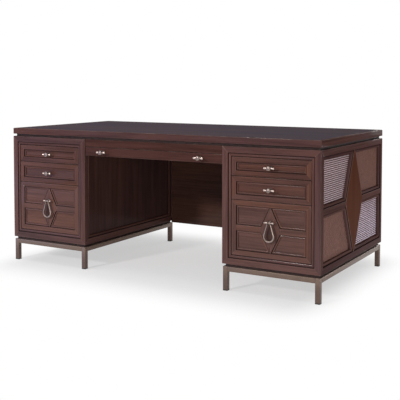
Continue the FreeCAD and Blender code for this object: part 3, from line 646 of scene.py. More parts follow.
class DiamondField:
    """A frame's opening with a diamond in its middle, and a rail from each side to the diamond's corner."""

    def __init__(self, u0, u1, z0, z1, half_width, tip_width, rail_width):
        self.middle = ((u0 + u1) / 2, (z0 + z1) / 2)
        self.half_u, self.half_z = (u1 - u0) / 2, (z1 - z0) / 2
        self.half_width = half_width
        self.half_tip = tip_width / 2
        self.half_rail = rail_width / 2

    def placed(self, points, side_u=1, side_z=1):
        return [(self.middle[0] + side_u * u, self.middle[1] + side_z * z) for u, z in points]

    def edge(self, z):
        """Half-width of the diamond at a height from its middle."""
        return self.half_width - (self.half_width - self.half_tip) * z / self.half_z

    def whole(self):
        """The diamond as one board."""
        outline = [(self.half_tip, self.half_z), (self.half_width, 0), (self.half_tip, -self.half_z),
                   (-self.half_tip, -self.half_z), (-self.half_width, 0), (-self.half_tip, self.half_z)]
        return self.placed(outline)

    def leaves(self):
        """The two book-matched halves of the diamond."""
        outline = [(0, self.half_z), (self.half_tip, self.half_z), (self.half_width, 0),
                   (self.half_tip, -self.half_z), (0, -self.half_z)]
        return [(side, self.placed(outline, side)) for side in (-1, 1)]

    def rails(self):
        near = self.edge(self.half_rail)
        outline = [(self.half_u, self.half_rail), (near, self.half_rail), (self.half_width, 0),
                   (near, -self.half_rail), (self.half_u, -self.half_rail)]
        return [self.placed(outline, side) for side in (-1, 1)]

    def openings(self):
        """Each sunk panel's outline, with its side and its height from the middle."""
        outline = [(self.half_tip, self.half_z), (self.half_u, self.half_z), (self.half_u, self.half_rail),
                   (self.edge(self.half_rail), self.half_rail)]
        return [(side_u, side_z, self.placed(outline, side_u, side_z))
                for side_u in (-1, 1) for side_z in (-1, 1)]


def slab(front, back):
    """A closed board between two outlines with as many corners."""
    shape = bmesh.new()
    near = [shape.verts.new(point) for point in front]
    far = [shape.verts.new(point) for point in back]
    shape.faces.new(near)
    shape.faces.new(far[::-1])
    for i in range(len(near)):
        j = (i + 1) % len(near)
        shape.faces.new((near[j], near[i], far[i], far[j]))
    bmesh.ops.recalc_face_normals(shape, faces=shape.faces)
    return shape


def block(low, high):
    """A box between two corners."""
    corners = [(low[0], low[1]), (high[0], low[1]), (high[0], high[1]), (low[0], high[1])]
    return slab([(x, y, high[2]) for x, y in corners], [(x, y, low[2]) for x, y in corners])


def moulding(section, starts, ends):
    """A length of moulding: its section's points at one end and at the other."""
    shape = bmesh.new()
    near = [shape.verts.new(point) for point in starts]
    far = [shape.verts.new(point) for point in ends]
    for i in range(len(section)):
        j = (i + 1) % len(section)
        shape.faces.new((near[i], near[j], far[j], far[i]))
    shape.faces.new(near[::-1])
    shape.faces.new(far)
    bmesh.ops.recalc_face_normals(shape, faces=shape.faces)
    return shape


def turned(profile, origin, axis, sides):
    """A lathe-turned shape from (distance along the axis, radius) points that start and end on it.

    A tuple of radii is repeated round its ring.
    """
    axis = Vector(axis)
    across = axis.orthogonal().normalized()
    beside = axis.cross(across)
    shape = bmesh.new()
    rings = []
    for reach, radius in profile:
        centre = Vector(origin) + axis * reach
        if radius == 0:
            rings.append([shape.verts.new(centre)])
            continue
        radii = radius if isinstance(radius, tuple) else (radius,)
        ring = []
        for i in range(sides):
            angle = 2 * math.pi * i / sides
            spoke = across * math.cos(angle) + beside * math.sin(angle)
            ring.append(shape.verts.new(centre + spoke * radii[i % len(radii)]))
        rings.append(ring)
    for ring, following in zip(rings, rings[1:]):
        for i in range(sides):
            j = (i + 1) % sides
            corners = [ring[i % len(ring)], ring[j % len(ring)],
                       following[j % len(following)], following[i % len(following)]]
            shape.faces.new(dict.fromkeys(corners))
    bmesh.ops.recalc_face_normals(shape, faces=shape.faces)
    return shape


# Tones run from 0, dark, to 1, pale, on stained wood and pulls. On clear wood 1 is dark end grain.
# A board without a tone draws it between the plain tones
PLAIN_TONES = (0.41, 0.60)
FRONT_TONES = {"top": (0.28, 0.44), "middle": (0.33, 0.49), "file": (0.48, 0.64)}
# The apron and the pencil drawer's front are darkened by this tone as painted shade under the top
SHADED_TONE = 0.08
MIDDLE_TONE = 0.5
PALEST_TONE = 1.0
END_GRAIN_TONE = 1.0
LIPPING_TONE = 0.32
FILE_DIAMOND_TONE = 0.55
INNER_PANEL_TONE = 0.52
BACK_PANEL_TONE = 0.45
MODESTY_TONE = 0.66
STEM_TONE = 0.24
SCREW_TONE = 0.3
FILE_ARM_TONE = 0.6
EYE_TONE = 0.4
BAIL_TONE = 0.28
BAIL_WEAR_AND_SHADE_CHANGE = 0.30

# How far the arrises are lightened, partly as rubbed stain and partly as painted highlight
FLAT_BOARD_WEAR_AND_HIGHLIGHT = 0.3
FRONT_FRAME_WEAR_AND_HIGHLIGHT = 0.5
LIPPING_WEAR_AND_HIGHLIGHT = 0.6
SIDE_DIAMOND_WEAR_AND_HIGHLIGHT = 2.0
FILE_DIAMOND_WEAR_AND_HIGHLIGHT = 2.2

# Shares of painted shade: on panels' faces in the kneehole, beside the beads, and up the beads that run
# along a file diamond
INNER_PANEL_PAINTED_SHADE = 0.5
MODESTY_PAINTED_SHADE = 0.5
SIDE_BEAD_PAINTED_SHADE = 0.15
FRONT_BEAD_PAINTED_SHADE = 0.6
FILE_DIAMOND_PAINTED_SHADE = (1.0, 0.9, 0.5)

# A face is square to a wall below this cosine
SQUARE = 0.1
# Degrees past which an edge is sharp, on boards and on turned metal
BOARD_SHARP = 32.0
TURNED_SHARP = 40.0


class Boards:
    """Boards gathered into one mesh. Each keeps its own grain direction and tone."""

    def __init__(self, seed, side=1, tones=PLAIN_TONES):
        self.draw = random.Random(seed)
        self.side = side
        self.plain_tones = tones
        self.points, self.faces, self.grain = [], [], []
        self.tones, self.arrises, self.painted_shades = [], [], []

    def add(self, shape, axis, arris=0.0, segments=1, tone=None, worn=1.0, sharp=(), glaze=None):
        """Take over a shape as one board, with its grain along an axis and its edges eased by an arris.

        tone is one number, a list with a number for each point, or None for one drawn from the plain
        tones. The next share is how far the arris is lightened, partly as rubbed stain and partly as painted
        highlight, sharp holds the edges that aren't eased, and the last argument is a function that gives a
        face's share of painted shade.
        """
        eased = set()
        if arris:
            edges = [edge for edge in shape.edges if edge not in sharp]
            made = bmesh.ops.bevel(shape, geom=edges, offset=arris, segments=segments,
                                   profile=0.5, affect="EDGES", clamp_overlap=True)
            eased = set(made["faces"])
            shape.normal_update()
        along = Vector(axis).normalized()
        across = along.orthogonal().normalized()
        beside = along.cross(across)
        start = Vector([self.draw.uniform(0.0, 20.0) for _ in range(3)])
        tone = self.draw.uniform(*self.plain_tones) if tone is None else tone
        self.tones += tone if isinstance(tone, list) else [tone] * len(shape.verts)
        first = len(self.points)
        shape.verts.index_update()
        shape.faces.index_update()
        for vert in shape.verts:
            place = vert.co
            self.points.append((place.x * self.side, place.y, place.z))
            self.grain.append(start + Vector((place.dot(along), place.dot(across), place.dot(beside))))
        for face in shape.faces:
            corners = [first + vert.index for vert in face.verts]
            self.faces.append(corners if self.side > 0 else corners[::-1])
            self.arrises.append(worn if face in eased else 0.0)
            self.painted_shades.append(glaze(face) if glaze else 0.0)
        shape.free()

    def piece(self, name, finish_name, smooth_angle=BOARD_SHARP):
        """One object from all the boards."""
        mesh = bpy.data.meshes.new(name)
        mesh.from_pydata(self.points, [], self.faces)
        grain = mesh.attributes.new("grain", "FLOAT_VECTOR", "POINT")
        grain.data.foreach_set("vector", [part for place in self.grain for part in place])
        tone = mesh.attributes.new("tone", "FLOAT", "POINT")
        tone.data.foreach_set("value", self.tones)
        for name_on_face, values in (("arris", self.arrises), ("glaze", self.painted_shades)):
            mesh.attributes.new(name_on_face, "FLOAT", "FACE").data.foreach_set("value", values)
        mesh.materials.append(finish(finish_name))
        mesh.shade_smooth()
        mesh.set_sharp_from_angle(angle=math.radians(smooth_angle))
        mesh.update()
        return new_object(name, mesh)


SCREW_SIDES = 24
SCREW_SEED = 3
# Radii round a quarter of a cross recess, as shares of its reach
CROSS = (1.0, 1.035, 0.536, 0.379, 0.536, 1.035)


def pan_head(diameter, height):
    """A screw's pan head from its seat to the bottom of its cross recess."""
    radius = diameter / 2
    mouth, bottom = [tuple(share * radius * part for part in CROSS) for share in (0.5, 0.4)]
    return [(0.0, radius), (0.4 * height, radius), (0.85 * height, 0.85 * radius), (height, 0.62 * radius),
            (height, mouth), (0.4 * height, bottom), (0.4 * height, 0.0)]


def slot_of(node):
    for part in frame["record"]["subparts"]:
        if part["node"] == node:
            return part["material_slot"]
    raise RuntimeError("No material slot for %s" % node)


def hand_over(obj, *nodes):
    """The object stands for these nodes and moves with their body."""
    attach(obj, frame["nodes"][nodes[0]]["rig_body"])
    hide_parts(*nodes)
    slot_of(nodes[0])


def dress(node, finish_name):
    """Give a carried-over node a finish."""
    obj = frame["nodes"][node]
    obj.data.materials.clear()
    obj.data.materials.append(finish(finish_name))


def right_box(node):
    """The box of a node of the right pedestal."""
    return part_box("right_" + node)


# Joinery

UP = (0, 0, 1)
ALONG_X = (1, 0, 0)
ALONG_Y = (0, 1, 0)


def front_wall(depth):
    return Wall((0, depth, 0), ALONG_X, (0, 1, 0))


def painted_shade_on_sides(wall, on_face=0.0):
    """Painted shade on a board's faces that stand square to the wall, as in a quirk or a drawer's gap."""
    return lambda face: 1.0 if abs(face.normal.dot(wall.inward)) < SQUARE else on_face


def mitred_frame(boards, wall, edges, band, thickness, corner=0.0, arris=0.0, worn=1.0):
    """Four flat members mitred at their corners, and mitred back where walls meet at a corner."""
    outer = rectangle(*edges)
    outer_back = rectangle(*edges, corner)
    inner = rectangle(*edges, band, band)
    for i in range(4):
        j = (i + 1) % 4
        front = wall.outline([outer[i], outer[j], inner[j], inner[i]], 0.0)
        back = wall.outline([outer_back[i], outer_back[j], inner[j], inner[i]], thickness)
        shape = slab(front, back)
        shape.verts.ensure_lookup_table()
        quirk_edge = shape.edges.get((shape.verts[2], shape.verts[3]))
        boards.add(shape, front[1] - front[0], arris, 3, worn=worn, sharp=[quirk_edge],
                   glaze=painted_shade_on_sides(wall))


BEAD_STEPS = 8
QUIRK_POINTS = 3


def bead_section(quirk, quirk_depth, bead, drop, crown, thickness):
    """Points of (distance from the opening's edge, depth) round a quirk and the bead beside it."""
    half = bead / 2
    section = [(0.0, thickness), (0.0, quirk_depth), (quirk, quirk_depth)]
    for i in range(BEAD_STEPS + 1):
        angle = math.pi * i / BEAD_STEPS
        section.append((quirk + half - half * math.cos(angle), drop + crown - crown * math.sin(angle)))
    section.append((quirk + bead, thickness))
    return section


def bead_ring(boards, wall, opening, section, inner_painted_shade=1.0, last_highlight_tone=None, last_foot_shade=(0.0, 0.0, 0.0)):
    """Mouldings all round an opening, mitred at its corners, with painted shade beside the bead's round.

    The last moulding, along a diamond, may have its own painted highlight tone and painted shade on its foot.
    """
    corners = [inset_outline(opening, inset) for inset, depth in section]
    count = len(opening)
    for i in range(count):
        j = (i + 1) % count
        starts = [wall.at(*ring[i], depth) for ring, (inset, depth) in zip(corners, section)]
        ends = [wall.at(*ring[j], depth) for ring, (inset, depth) in zip(corners, section)]
        painted_shades = [1.0] * QUIRK_POINTS + [0.0] * BEAD_STEPS + [inner_painted_shade, 1.0]
        tone = None
        if j == 0:
            painted_shades[QUIRK_POINTS:QUIRK_POINTS + len(last_foot_shade)] = last_foot_shade
            tone = last_highlight_tone
        boards.add(moulding(section, starts, ends), ends[0] - starts[0], tone=tone,
                   glaze=lambda face: painted_shades[min(face.index, len(section) - 1)])


def add_diamond(boards, wall, field, thickness, arris, slant=0.35):
    """Book-matched leaves, their grain rising towards the middle line."""
    for side, outline in field.leaves():
        axis = wall.along * (-side * slant) + Vector(UP)
        shape = slab(wall.outline(outline, 0.0), wall.outline(outline, thickness))
        shape.verts.ensure_lookup_table()
        joint = shape.edges.get((shape.verts[0], shape.verts[len(outline) - 1]))
        boards.add(shape, axis, 2 * arris, tone=FILE_DIAMOND_TONE, worn=FILE_DIAMOND_WEAR_AND_HIGHLIGHT, sharp=[joint],
                   glaze=painted_shade_on_sides(wall))


def add_rails(boards, wall, field, thickness, arris):
    for outline in field.rails():
        flat_board(boards, wall, outline, 0.0, thickness, wall.along, arris)


def flat_board(boards, wall, outline, depth0, depth1, axis, arris=0.0, on_face=0.0, worn=FLAT_BOARD_WEAR_AND_HIGHLIGHT,
               **rest):
    """A board on the wall, its edges lightened a little as wear and painted highlight, and painted shade on
    its sides.
    """
    shape = slab(wall.outline(outline, depth0), wall.outline(outline, depth1))
    boards.add(shape, axis, arris, worn=worn, glaze=painted_shade_on_sides(wall, on_face), **rest)


# Operators

class DeskOperator:
    """What the operators share."""

    bl_options = {"REGISTER"}

    def execute(self, context):
        self.build(context.scene.desk_sizes)
        return {"FINISHED"}


class DESK_OT_top(DeskOperator, bpy.types.Operator):
    """Veneered top with solid mitred lipping, over its shadow gap"""

    bl_idname = "desk.top"
    bl_label = "Top"

    def build(self, sizes):
        low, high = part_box("desk_top")
        boards = Boards("top")
        boards.add(block(low, high), ALONG_X, sizes.arris / 2, tone=MIDDLE_TONE)
        hand_over(boards.piece("top_veneer", "top_wood"), "desk_top")
        outer_low, outer_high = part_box("top_lipping")
        outer = rectangle(outer_low.x, outer_high.x, outer_low.y, outer_high.y)
        inner = rectangle(low.x, high.x, low.y, high.y)
        boards = Boards("lipping")
        for i in range(4):
            j = (i + 1) % 4
            corners = [outer[i], outer[j], inner[j], inner[i]]
            shape = slab([(x, y, high.z) for x, y in corners], [(x, y, low.z) for x, y in corners])
            axis = Vector((*outer[j], 0)) - Vector((*outer[i], 0))
            boards.add(shape, axis, 1.5 * sizes.arris, 3, tone=LIPPING_TONE, worn=LIPPING_WEAR_AND_HIGHLIGHT)
        hand_over(boards.piece("top_edge", "stained_wood"), "top_lipping")
        dress("top_reveal", "dark_wood")


class DESK_OT_face_frames(DeskOperator, bpy.types.Operator):
    """Mitred frames round the drawers, with a bead round the opening"""

    bl_idname = "desk.face_frames"
    bl_label = "Face frames"

    def build(self, sizes):
        low, high = right_box("face_frame")
        thickness = high.y - low.y
        edges = (low.x, high.x, low.z, high.z)
        wall = front_wall(low.y)
        section = bead_section(sizes.quirk, sizes.quirk_depth, sizes.bead, sizes.face_bead_drop,
                               sizes.bead_crown, thickness)
        for name, side in SIDES.items():
            boards = Boards("face_" + name, side)
            mitred_frame(boards, wall, edges, sizes.band, thickness, thickness, sizes.arris)
            bead_ring(boards, wall, rectangle(*edges, sizes.band, sizes.band), section)
            hand_over(boards.piece(name + "_face_boards", "stained_wood"), name + "_face_frame")


class DESK_OT_panelled_walls(DeskOperator, bpy.types.Operator):
    """Framed panels on the kneehole sides and the backs"""

    bl_idname = "desk.panelled_walls"
    bl_label = "Inner sides and backs"

    def build(self, sizes):
        inner_low, inner_high = right_box("inner_side")
        back_low, back_high = right_box("back_panel")
        inner = Wall((inner_low.x, 0, 0), ALONG_Y, (1, 0, 0))
        back = Wall((0, back_high.y, 0), ALONG_X, (0, -1, 0))
        thickness = inner_high.x - inner_low.x
        # The panels of the kneehole sides take a share of painted shade on their face
        walls = {"inner_side": (inner, (inner_low.y, inner_high.y, inner_low.z, inner_high.z),
                                INNER_PANEL_PAINTED_SHADE, INNER_PANEL_TONE, "side_wood"),
                 "back_panel": (back, (back_low.x, back_high.x, back_low.z, back_high.z),
                                0.0, BACK_PANEL_TONE, "stained_wood")}
        section = bead_section(sizes.quirk, sizes.quirk_depth, sizes.bead, sizes.side_bead_drop,
                               sizes.bead_crown, thickness)
        inset = sizes.band + sizes.quirk + sizes.bead
        for node, (wall, edges, glaze, tone, wood) in walls.items():
            for name, side in SIDES.items():
                boards = Boards(node + name, side)
                mitred_frame(boards, wall, edges, sizes.band, thickness, thickness, sizes.arris)
                bead_ring(boards, wall, rectangle(*edges, sizes.band, sizes.band), section)
                flat_board(boards, wall, rectangle(*edges, inset, inset), thickness - sizes.flat_panel,
                           thickness, UP, on_face=glaze, tone=tone)
                hand_over(boards.piece("%s_%s_boards" % (name, node), wood), "%s_%s" % (name, node))


# Thickness of the board that the cane is woven on
CANE_BOARD = 0.0012


class DESK_OT_cane_sides(DeskOperator, bpy.types.Operator):
    """Outer sides: beaded frames with a diamond and four panels of woven cane"""

    bl_idname = "desk.cane_sides"
    bl_label = "Cane sides"

    def build(self, sizes):
        low, high = right_box("outer_frame")
        thickness = high.x - low.x
        wall = Wall((high.x, 0, 0), ALONG_Y, (-1, 0, 0))
        edges = (low.y, high.y, low.z, high.z)
        u0, u1, z0, z1 = edges
        field = DiamondField(u0 + sizes.band, u1 - sizes.band, z0 + sizes.band, z1 - sizes.band,
                             sizes.side_diamond, sizes.side_diamond_tip, sizes.cross_rail)
        section = bead_section(sizes.quirk, sizes.quirk_depth, sizes.bead, sizes.side_bead_drop,
                               sizes.bead_crown, thickness)
        for name, side in SIDES.items():
            boards = Boards("outer_" + name, side)
            mitred_frame(boards, wall, edges, sizes.band, thickness, thickness, sizes.arris)
            add_rails(boards, wall, field, thickness, sizes.arris)
            for side_u, side_z, outline in field.openings():
                # The moulding along each diamond takes the palest tone as a painted highlight
                bead_ring(boards, wall, outline, section, SIDE_BEAD_PAINTED_SHADE, last_highlight_tone=PALEST_TONE)
            hand_over(boards.piece(name + "_side_boards", "side_wood"), name + "_outer_frame")
            self.weave(sizes, wall, field, name, side)
        boards = Boards("diamonds")
        for side in SIDES.values():
            boards.side = side
            flat_board(boards, wall, field.whole(), 0.0, thickness, UP, 2 * sizes.arris, tone=MIDDLE_TONE,
                       worn=SIDE_DIAMOND_WEAR_AND_HIGHLIGHT)
        hand_over(boards.piece("side_diamond_boards", "diamond_wood"), "side_diamonds")

    def weave(self, sizes, wall, field, name, side):
        """Two pairs of panels on one side: level reeds and upright reeds."""
        low, high = right_box("cane_panels")
        depth0 = wall.origin.x - high.x
        depth1 = wall.origin.x - low.x
        depth = depth0 + sizes.reed / 2 + sizes.weave_lift
        tree = strand_tree()
        # The level reeds take the pale colour, a painted sheen; the upright reeds and the laces the brown one
        for finish_name, matched in (("cane_pale", -1), ("cane_brown", 1)):
            upright = matched > 0
            boards = Boards(finish_name + name, side)
            panels = [inset_outline(outline, sizes.quirk + sizes.bead)
                      for side_u, side_z, outline in field.openings() if side_u * side_z == matched]
            for panel in panels:
                flat_board(boards, wall, panel, depth1 - CANE_BOARD, depth1, UP)
            backing = boards.piece("%s_%s_back" % (name, finish_name), "cane_back")
            reeds = strand_lines(panels, wall, side, depth, sizes.reed_pitch, upright)
            laces = strand_lines(panels, wall, side, depth, sizes.lace_pitch, not upright)
            woven = [strands_mesh(tree, reeds, sizes.reed, sizes.lace_pitch, sizes.weave_lift, upright,
                                  finish_name),
                     strands_mesh(tree, laces, sizes.lace, sizes.reed_pitch, -sizes.reed / 2, not upright,
                                  "cane_brown")]
            piece = joined(backing, woven, "%s_%s" % (name, finish_name))
            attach(piece, "desk")
            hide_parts(name + "_cane_panels")


def crossing(panel, level, upright):
    """Where a level or upright line enters and leaves a convex panel."""
    axis = 0 if upright else 1
    hits = []
    for start, end in zip(panel, panel[1:] + panel[:1]):
        rise = end[axis] - start[axis]
        if rise and (start[axis] - level) * (end[axis] - level) <= 0:
            share = (level - start[axis]) / rise
            hits.append(start[1 - axis] + (end[1 - axis] - start[1 - axis]) * share)
    return min(hits), max(hits)


def strand_lines(panels, wall, side, depth, pitch, upright):
    """An edge for each strand, cut to its panel, with the strand's row number."""
    mesh = bpy.data.meshes.new("strand_lines")
    points, edges, rows = [], [], []
    axis = 0 if upright else 1
    for panel in panels:
        first = min(corner[axis] for corner in panel)
        last = max(corner[axis] for corner in panel)
        for row in range(math.ceil(first / pitch), math.floor(last / pitch) + 1):
            level = row * pitch
            if not first + pitch / 3 < level < last - pitch / 3:
                continue
            start, end = crossing(panel, level, upright)
            if end - start < 2 * pitch:
                continue
            for reach in (start, end):
                place = wall.at(*((level, reach) if upright else (reach, level)), depth)
                points.append((place.x * side, place.y, place.z))
                rows.append(float(row % 2))
            edges.append((len(points) - 2, len(points) - 1))
    mesh.from_pydata(points, edges, [])
    row_attribute = mesh.attributes.new("row", "FLOAT", "POINT")
    row_attribute.data.foreach_set("value", rows)
    return mesh


def node_tree(name, inputs):
    """A tree of geometry nodes, its first wire and a function that gives the wire of a named input."""
    tree = bpy.data.node_groups.new(name, "GeometryNodeTree")
    sockets = {}
    for label, kind in {"Geometry": "Geometry", **inputs, "Finish": "Material"}.items():
        sockets[label] = tree.interface.new_socket(label, in_out="INPUT", socket_type="NodeSocket" + kind)
    tree.interface.new_socket("Geometry", in_out="OUTPUT", socket_type="NodeSocketGeometry")
    start = Wire(tree)
    source = start.node("NodeGroupInput").socket.node

    def value(label):
        return Wire(tree, find_socket(source.outputs, sockets[label].identifier))

    return tree, start, value


def end_tree(start, shape, finish_wire):
    shape = start.node("GeometryNodeRealizeInstances", {}, {"Geometry": shape})
    shape = start.node("GeometryNodeSetMaterial", {}, {"Geometry": shape, "Material": finish_wire})
    start.node("NodeGroupOutput", {}, {"Geometry": shape})


def screw_tree():
    """Geometry nodes that drive a screw into each point, each stopped at its own turn."""
    tree, start, value = node_tree("screws", {"Screw": "Object", "Largest Turn": "Float", "Seed": "Int"})
    seats = start.node("GeometryNodeMeshToPoints", {}, {"Mesh": value("Geometry")})
    screw = start.node("GeometryNodeObjectInfo", {}, {"Object": value("Screw")}, "Geometry")
    turn = start.node("FunctionNodeRandomValue", {"data_type": "FLOAT"},
                      {"Max_001": value("Largest Turn"), "Seed": value("Seed")}, "Value_001")
    turn = start.node("ShaderNodeCombineXYZ", {}, {"Z": turn})
    screws = start.node("GeometryNodeInstanceOnPoints", {},
                        {"Points": seats, "Instance": screw, "Rotation": turn})
    end_tree(start, screws, value("Finish"))
    return tree


STRAND_SIDES = 6


def strand_tree():
    """Geometry nodes that bend strands over and under the ones that cross them."""
    tree, start, value = node_tree("woven_strands", {"Crossing Pitch": "Float", "Diameter": "Float",
                                                     "Lift": "Float", "Along": "Vector"})
    curve = start.node("GeometryNodeMeshToCurve", {}, {"Mesh": value("Geometry")})
    curve = start.node("GeometryNodeResampleCurve", {"mode": "LENGTH"},
                       {"Curve": curve, "Length": value("Crossing Pitch") * 0.5})
    place = start.node("GeometryNodeInputPosition")
    reach = start.vector_sum("DOT_PRODUCT", place, value("Along"), out="Value")
    row = start.node("GeometryNodeInputNamedAttribute", {"data_type": "FLOAT"}, {"Name": "row"}, "Attribute")
    turn = (start.sum("DIVIDE", reach, value("Crossing Pitch")) + row) * math.pi
    offset = start.node("ShaderNodeCombineXYZ", {}, {"X": start.sum("COSINE", turn) * value("Lift")})
    curve = start.node("GeometryNodeSetPosition", {}, {"Geometry": curve, "Offset": offset})
    ring = start.node("GeometryNodeCurvePrimitiveCircle", {},
                      {"Resolution": STRAND_SIDES, "Radius": value("Diameter") * 0.5})
    strand = start.node("GeometryNodeCurveToMesh", {},
                        {"Curve": curve, "Profile Curve": ring, "Fill Caps": True})
    end_tree(start, strand, value("Finish"))
    return tree


def strands_mesh(tree, lines, diameter, pitch, lift, upright, finish_name):
    """The woven strands of some lines as a plain mesh."""
    values = {"Crossing Pitch": pitch, "Diameter": diameter, "Lift": lift,
              "Along": UP if upright else ALONG_Y, "Finish": finish(finish_name)}
    return grown(tree, lines, values)


def grown(tree, mesh, values):
    """What a tree of geometry nodes makes of a mesh."""
    holder = new_object("grown", mesh)
    modifier = holder.modifiers.new("nodes", "NODES")
    modifier.node_group = tree
    for item in tree.interface.items_tree:
        if item.item_type == "SOCKET" and item.in_out == "INPUT" and item.name in values:
            modifier[item.identifier] = values[item.name]
    graph = bpy.context.evaluated_depsgraph_get()
    result = bpy.data.meshes.new_from_object(holder.evaluated_get(graph), depsgraph=graph)
    holder.modifiers.remove(modifier)
    bpy.data.objects.remove(holder)
    return result


def joined(obj, meshes, name):
    """One object from a piece and more meshes, with all their finishes."""
    shape = bmesh.new()
    finishes = list(obj.data.materials)
    shape.from_mesh(obj.data)
    for mesh in meshes:
        first = len(shape.faces)
        shape.from_mesh(mesh)
        shape.faces.ensure_lookup_table()
        for material in mesh.materials:
            if material not in finishes:
                finishes.append(material)
        index = finishes.index(mesh.materials[0])
        for face in shape.faces[first:]:
            face.material_index = index
            face.smooth = True
    bmesh.ops.recalc_face_normals(shape, faces=shape.faces)
    for material in finishes[len(obj.data.materials):]:
        obj.data.materials.append(material)
    shape.to_mesh(obj.data)
    shape.free()
    obj.name = name
    return obj


class DESK_OT_carcase(DeskOperator, bpy.types.Operator):
    """Kneehole apron and back, and the boards inside the pedestals"""

    bl_idname = "desk.carcase"
    bl_label = "Carcase"

    def build(self, sizes):
        # The modesty panel's front face, in the kneehole, takes a share of painted shade
        for node, name, tone, share in (("apron_rail", "apron_board", SHADED_TONE, 0.0),
                                        ("modesty_panel", "modesty_board", MODESTY_TONE, MODESTY_PAINTED_SHADE)):
            boards = Boards(node)
            boards.add(block(*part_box(node)), ALONG_X, sizes.arris, tone=tone,
                       glaze=lambda face: share if face.normal.y < 0 else 0.0)
            hand_over(boards.piece(name, "front_wood"), node)
        for node in ("side_liners", "carcase_boards", "runner_battens"):
            dress(node, "carcase_wood")
        dress("base_spacers", "dark_wood")


class DESK_OT_bases(DeskOperator, bpy.types.Operator):
    """Square-tube base frames on moulded glides"""

    bl_idname = "desk.bases"
    bl_label = "Bases"

    def build(self, sizes):
        low, high = right_box("base_frame")
        tube = sizes.tube
        for name, side in SIDES.items():
            boards = Boards("base_" + name, side)
            for x in (low.x, high.x - tube):
                for y in (low.y, high.y - tube):
                    leg = block((x, y, low.z), (x + tube, y + tube, high.z))
                    boards.add(leg, UP, sizes.tube_round, 3)
            for y in (low.y, high.y - tube):
                rail = block((low.x + tube, y, high.z - tube), (high.x - tube, y + tube, high.z))
                boards.add(rail, ALONG_X, sizes.tube_round, 3)
            for x in (low.x, high.x - tube):
                rail = block((x, low.y + tube, high.z - tube), (x + tube, high.y - tube, high.z))
                boards.add(rail, ALONG_Y, sizes.tube_round, 3)
            plate = sizes.corner_plate
            plate_z = high.z - sizes.corner_plate_thickness
            for x in (low.x + tube, high.x - tube - plate):
                for y in (low.y + tube, high.y - tube - plate):
                    corner = block((x, y, plate_z), (x + plate, y + plate, high.z))
                    boards.add(corner, ALONG_X, sizes.arris)
            hand_over(boards.piece(name + "_base_tubes", "bronze"), name + "_base_frame")
        dress("floor_glides", "glide_plastic")


class DESK_OT_drawer_fronts(DeskOperator, bpy.types.Operator):
    """Framed and beaded drawer fronts, and the plain pencil drawer front"""

    bl_idname = "desk.drawer_fronts"
    bl_label = "Drawer fronts"

    def build(self, sizes):
        section = bead_section(sizes.front_quirk, sizes.front_quirk_depth, sizes.front_bead,
                               sizes.front_bead_drop, sizes.front_bead_crown, sizes.front_relief)
        band = sizes.front_band
        arris = 1.5 * sizes.arris
        for drawer in PEDESTAL_DRAWERS:
            low, high = right_box(drawer + "_drawer_front")
            wall = front_wall(low.y)
            edges = (low.x, high.x, low.z, high.z)
            for name, side in SIDES.items():
                boards = Boards("front_%s_%s" % (name, drawer), side, FRONT_TONES[drawer])
                flat_board(boards, wall, rectangle(*edges), sizes.front_relief, high.y - low.y, ALONG_X,
                           sizes.arris)
                mitred_frame(boards, wall, edges, band, sizes.front_relief, 0.0, arris, FRONT_FRAME_WEAR_AND_HIGHLIGHT)
                if drawer == "file":
                    field = DiamondField(low.x + band, high.x - band, low.z + band, high.z - band,
                                         sizes.file_diamond, sizes.file_diamond_tip, sizes.mid_rail)
                    add_diamond(boards, wall, field, sizes.front_relief, sizes.arris)
                    add_rails(boards, wall, field, sizes.front_relief, sizes.arris)
                    for side_u, side_z, outline in field.openings():
                        bead_ring(boards, wall, outline, section, FRONT_BEAD_PAINTED_SHADE,
                                  last_foot_shade=FILE_DIAMOND_PAINTED_SHADE)
                else:
                    bead_ring(boards, wall, rectangle(*edges, band, band), section, FRONT_BEAD_PAINTED_SHADE)
                node = "%s_%s_drawer_front" % (name, drawer)
                hand_over(boards.piece(node + "_boards", "front_wood"), node)
        boards = Boards("front_pencil")
        boards.add(block(*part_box("pencil_drawer_front")), ALONG_X, sizes.arris, tone=SHADED_TONE)
        hand_over(boards.piece("pencil_drawer_front_board", "front_wood"), "pencil_drawer_front")


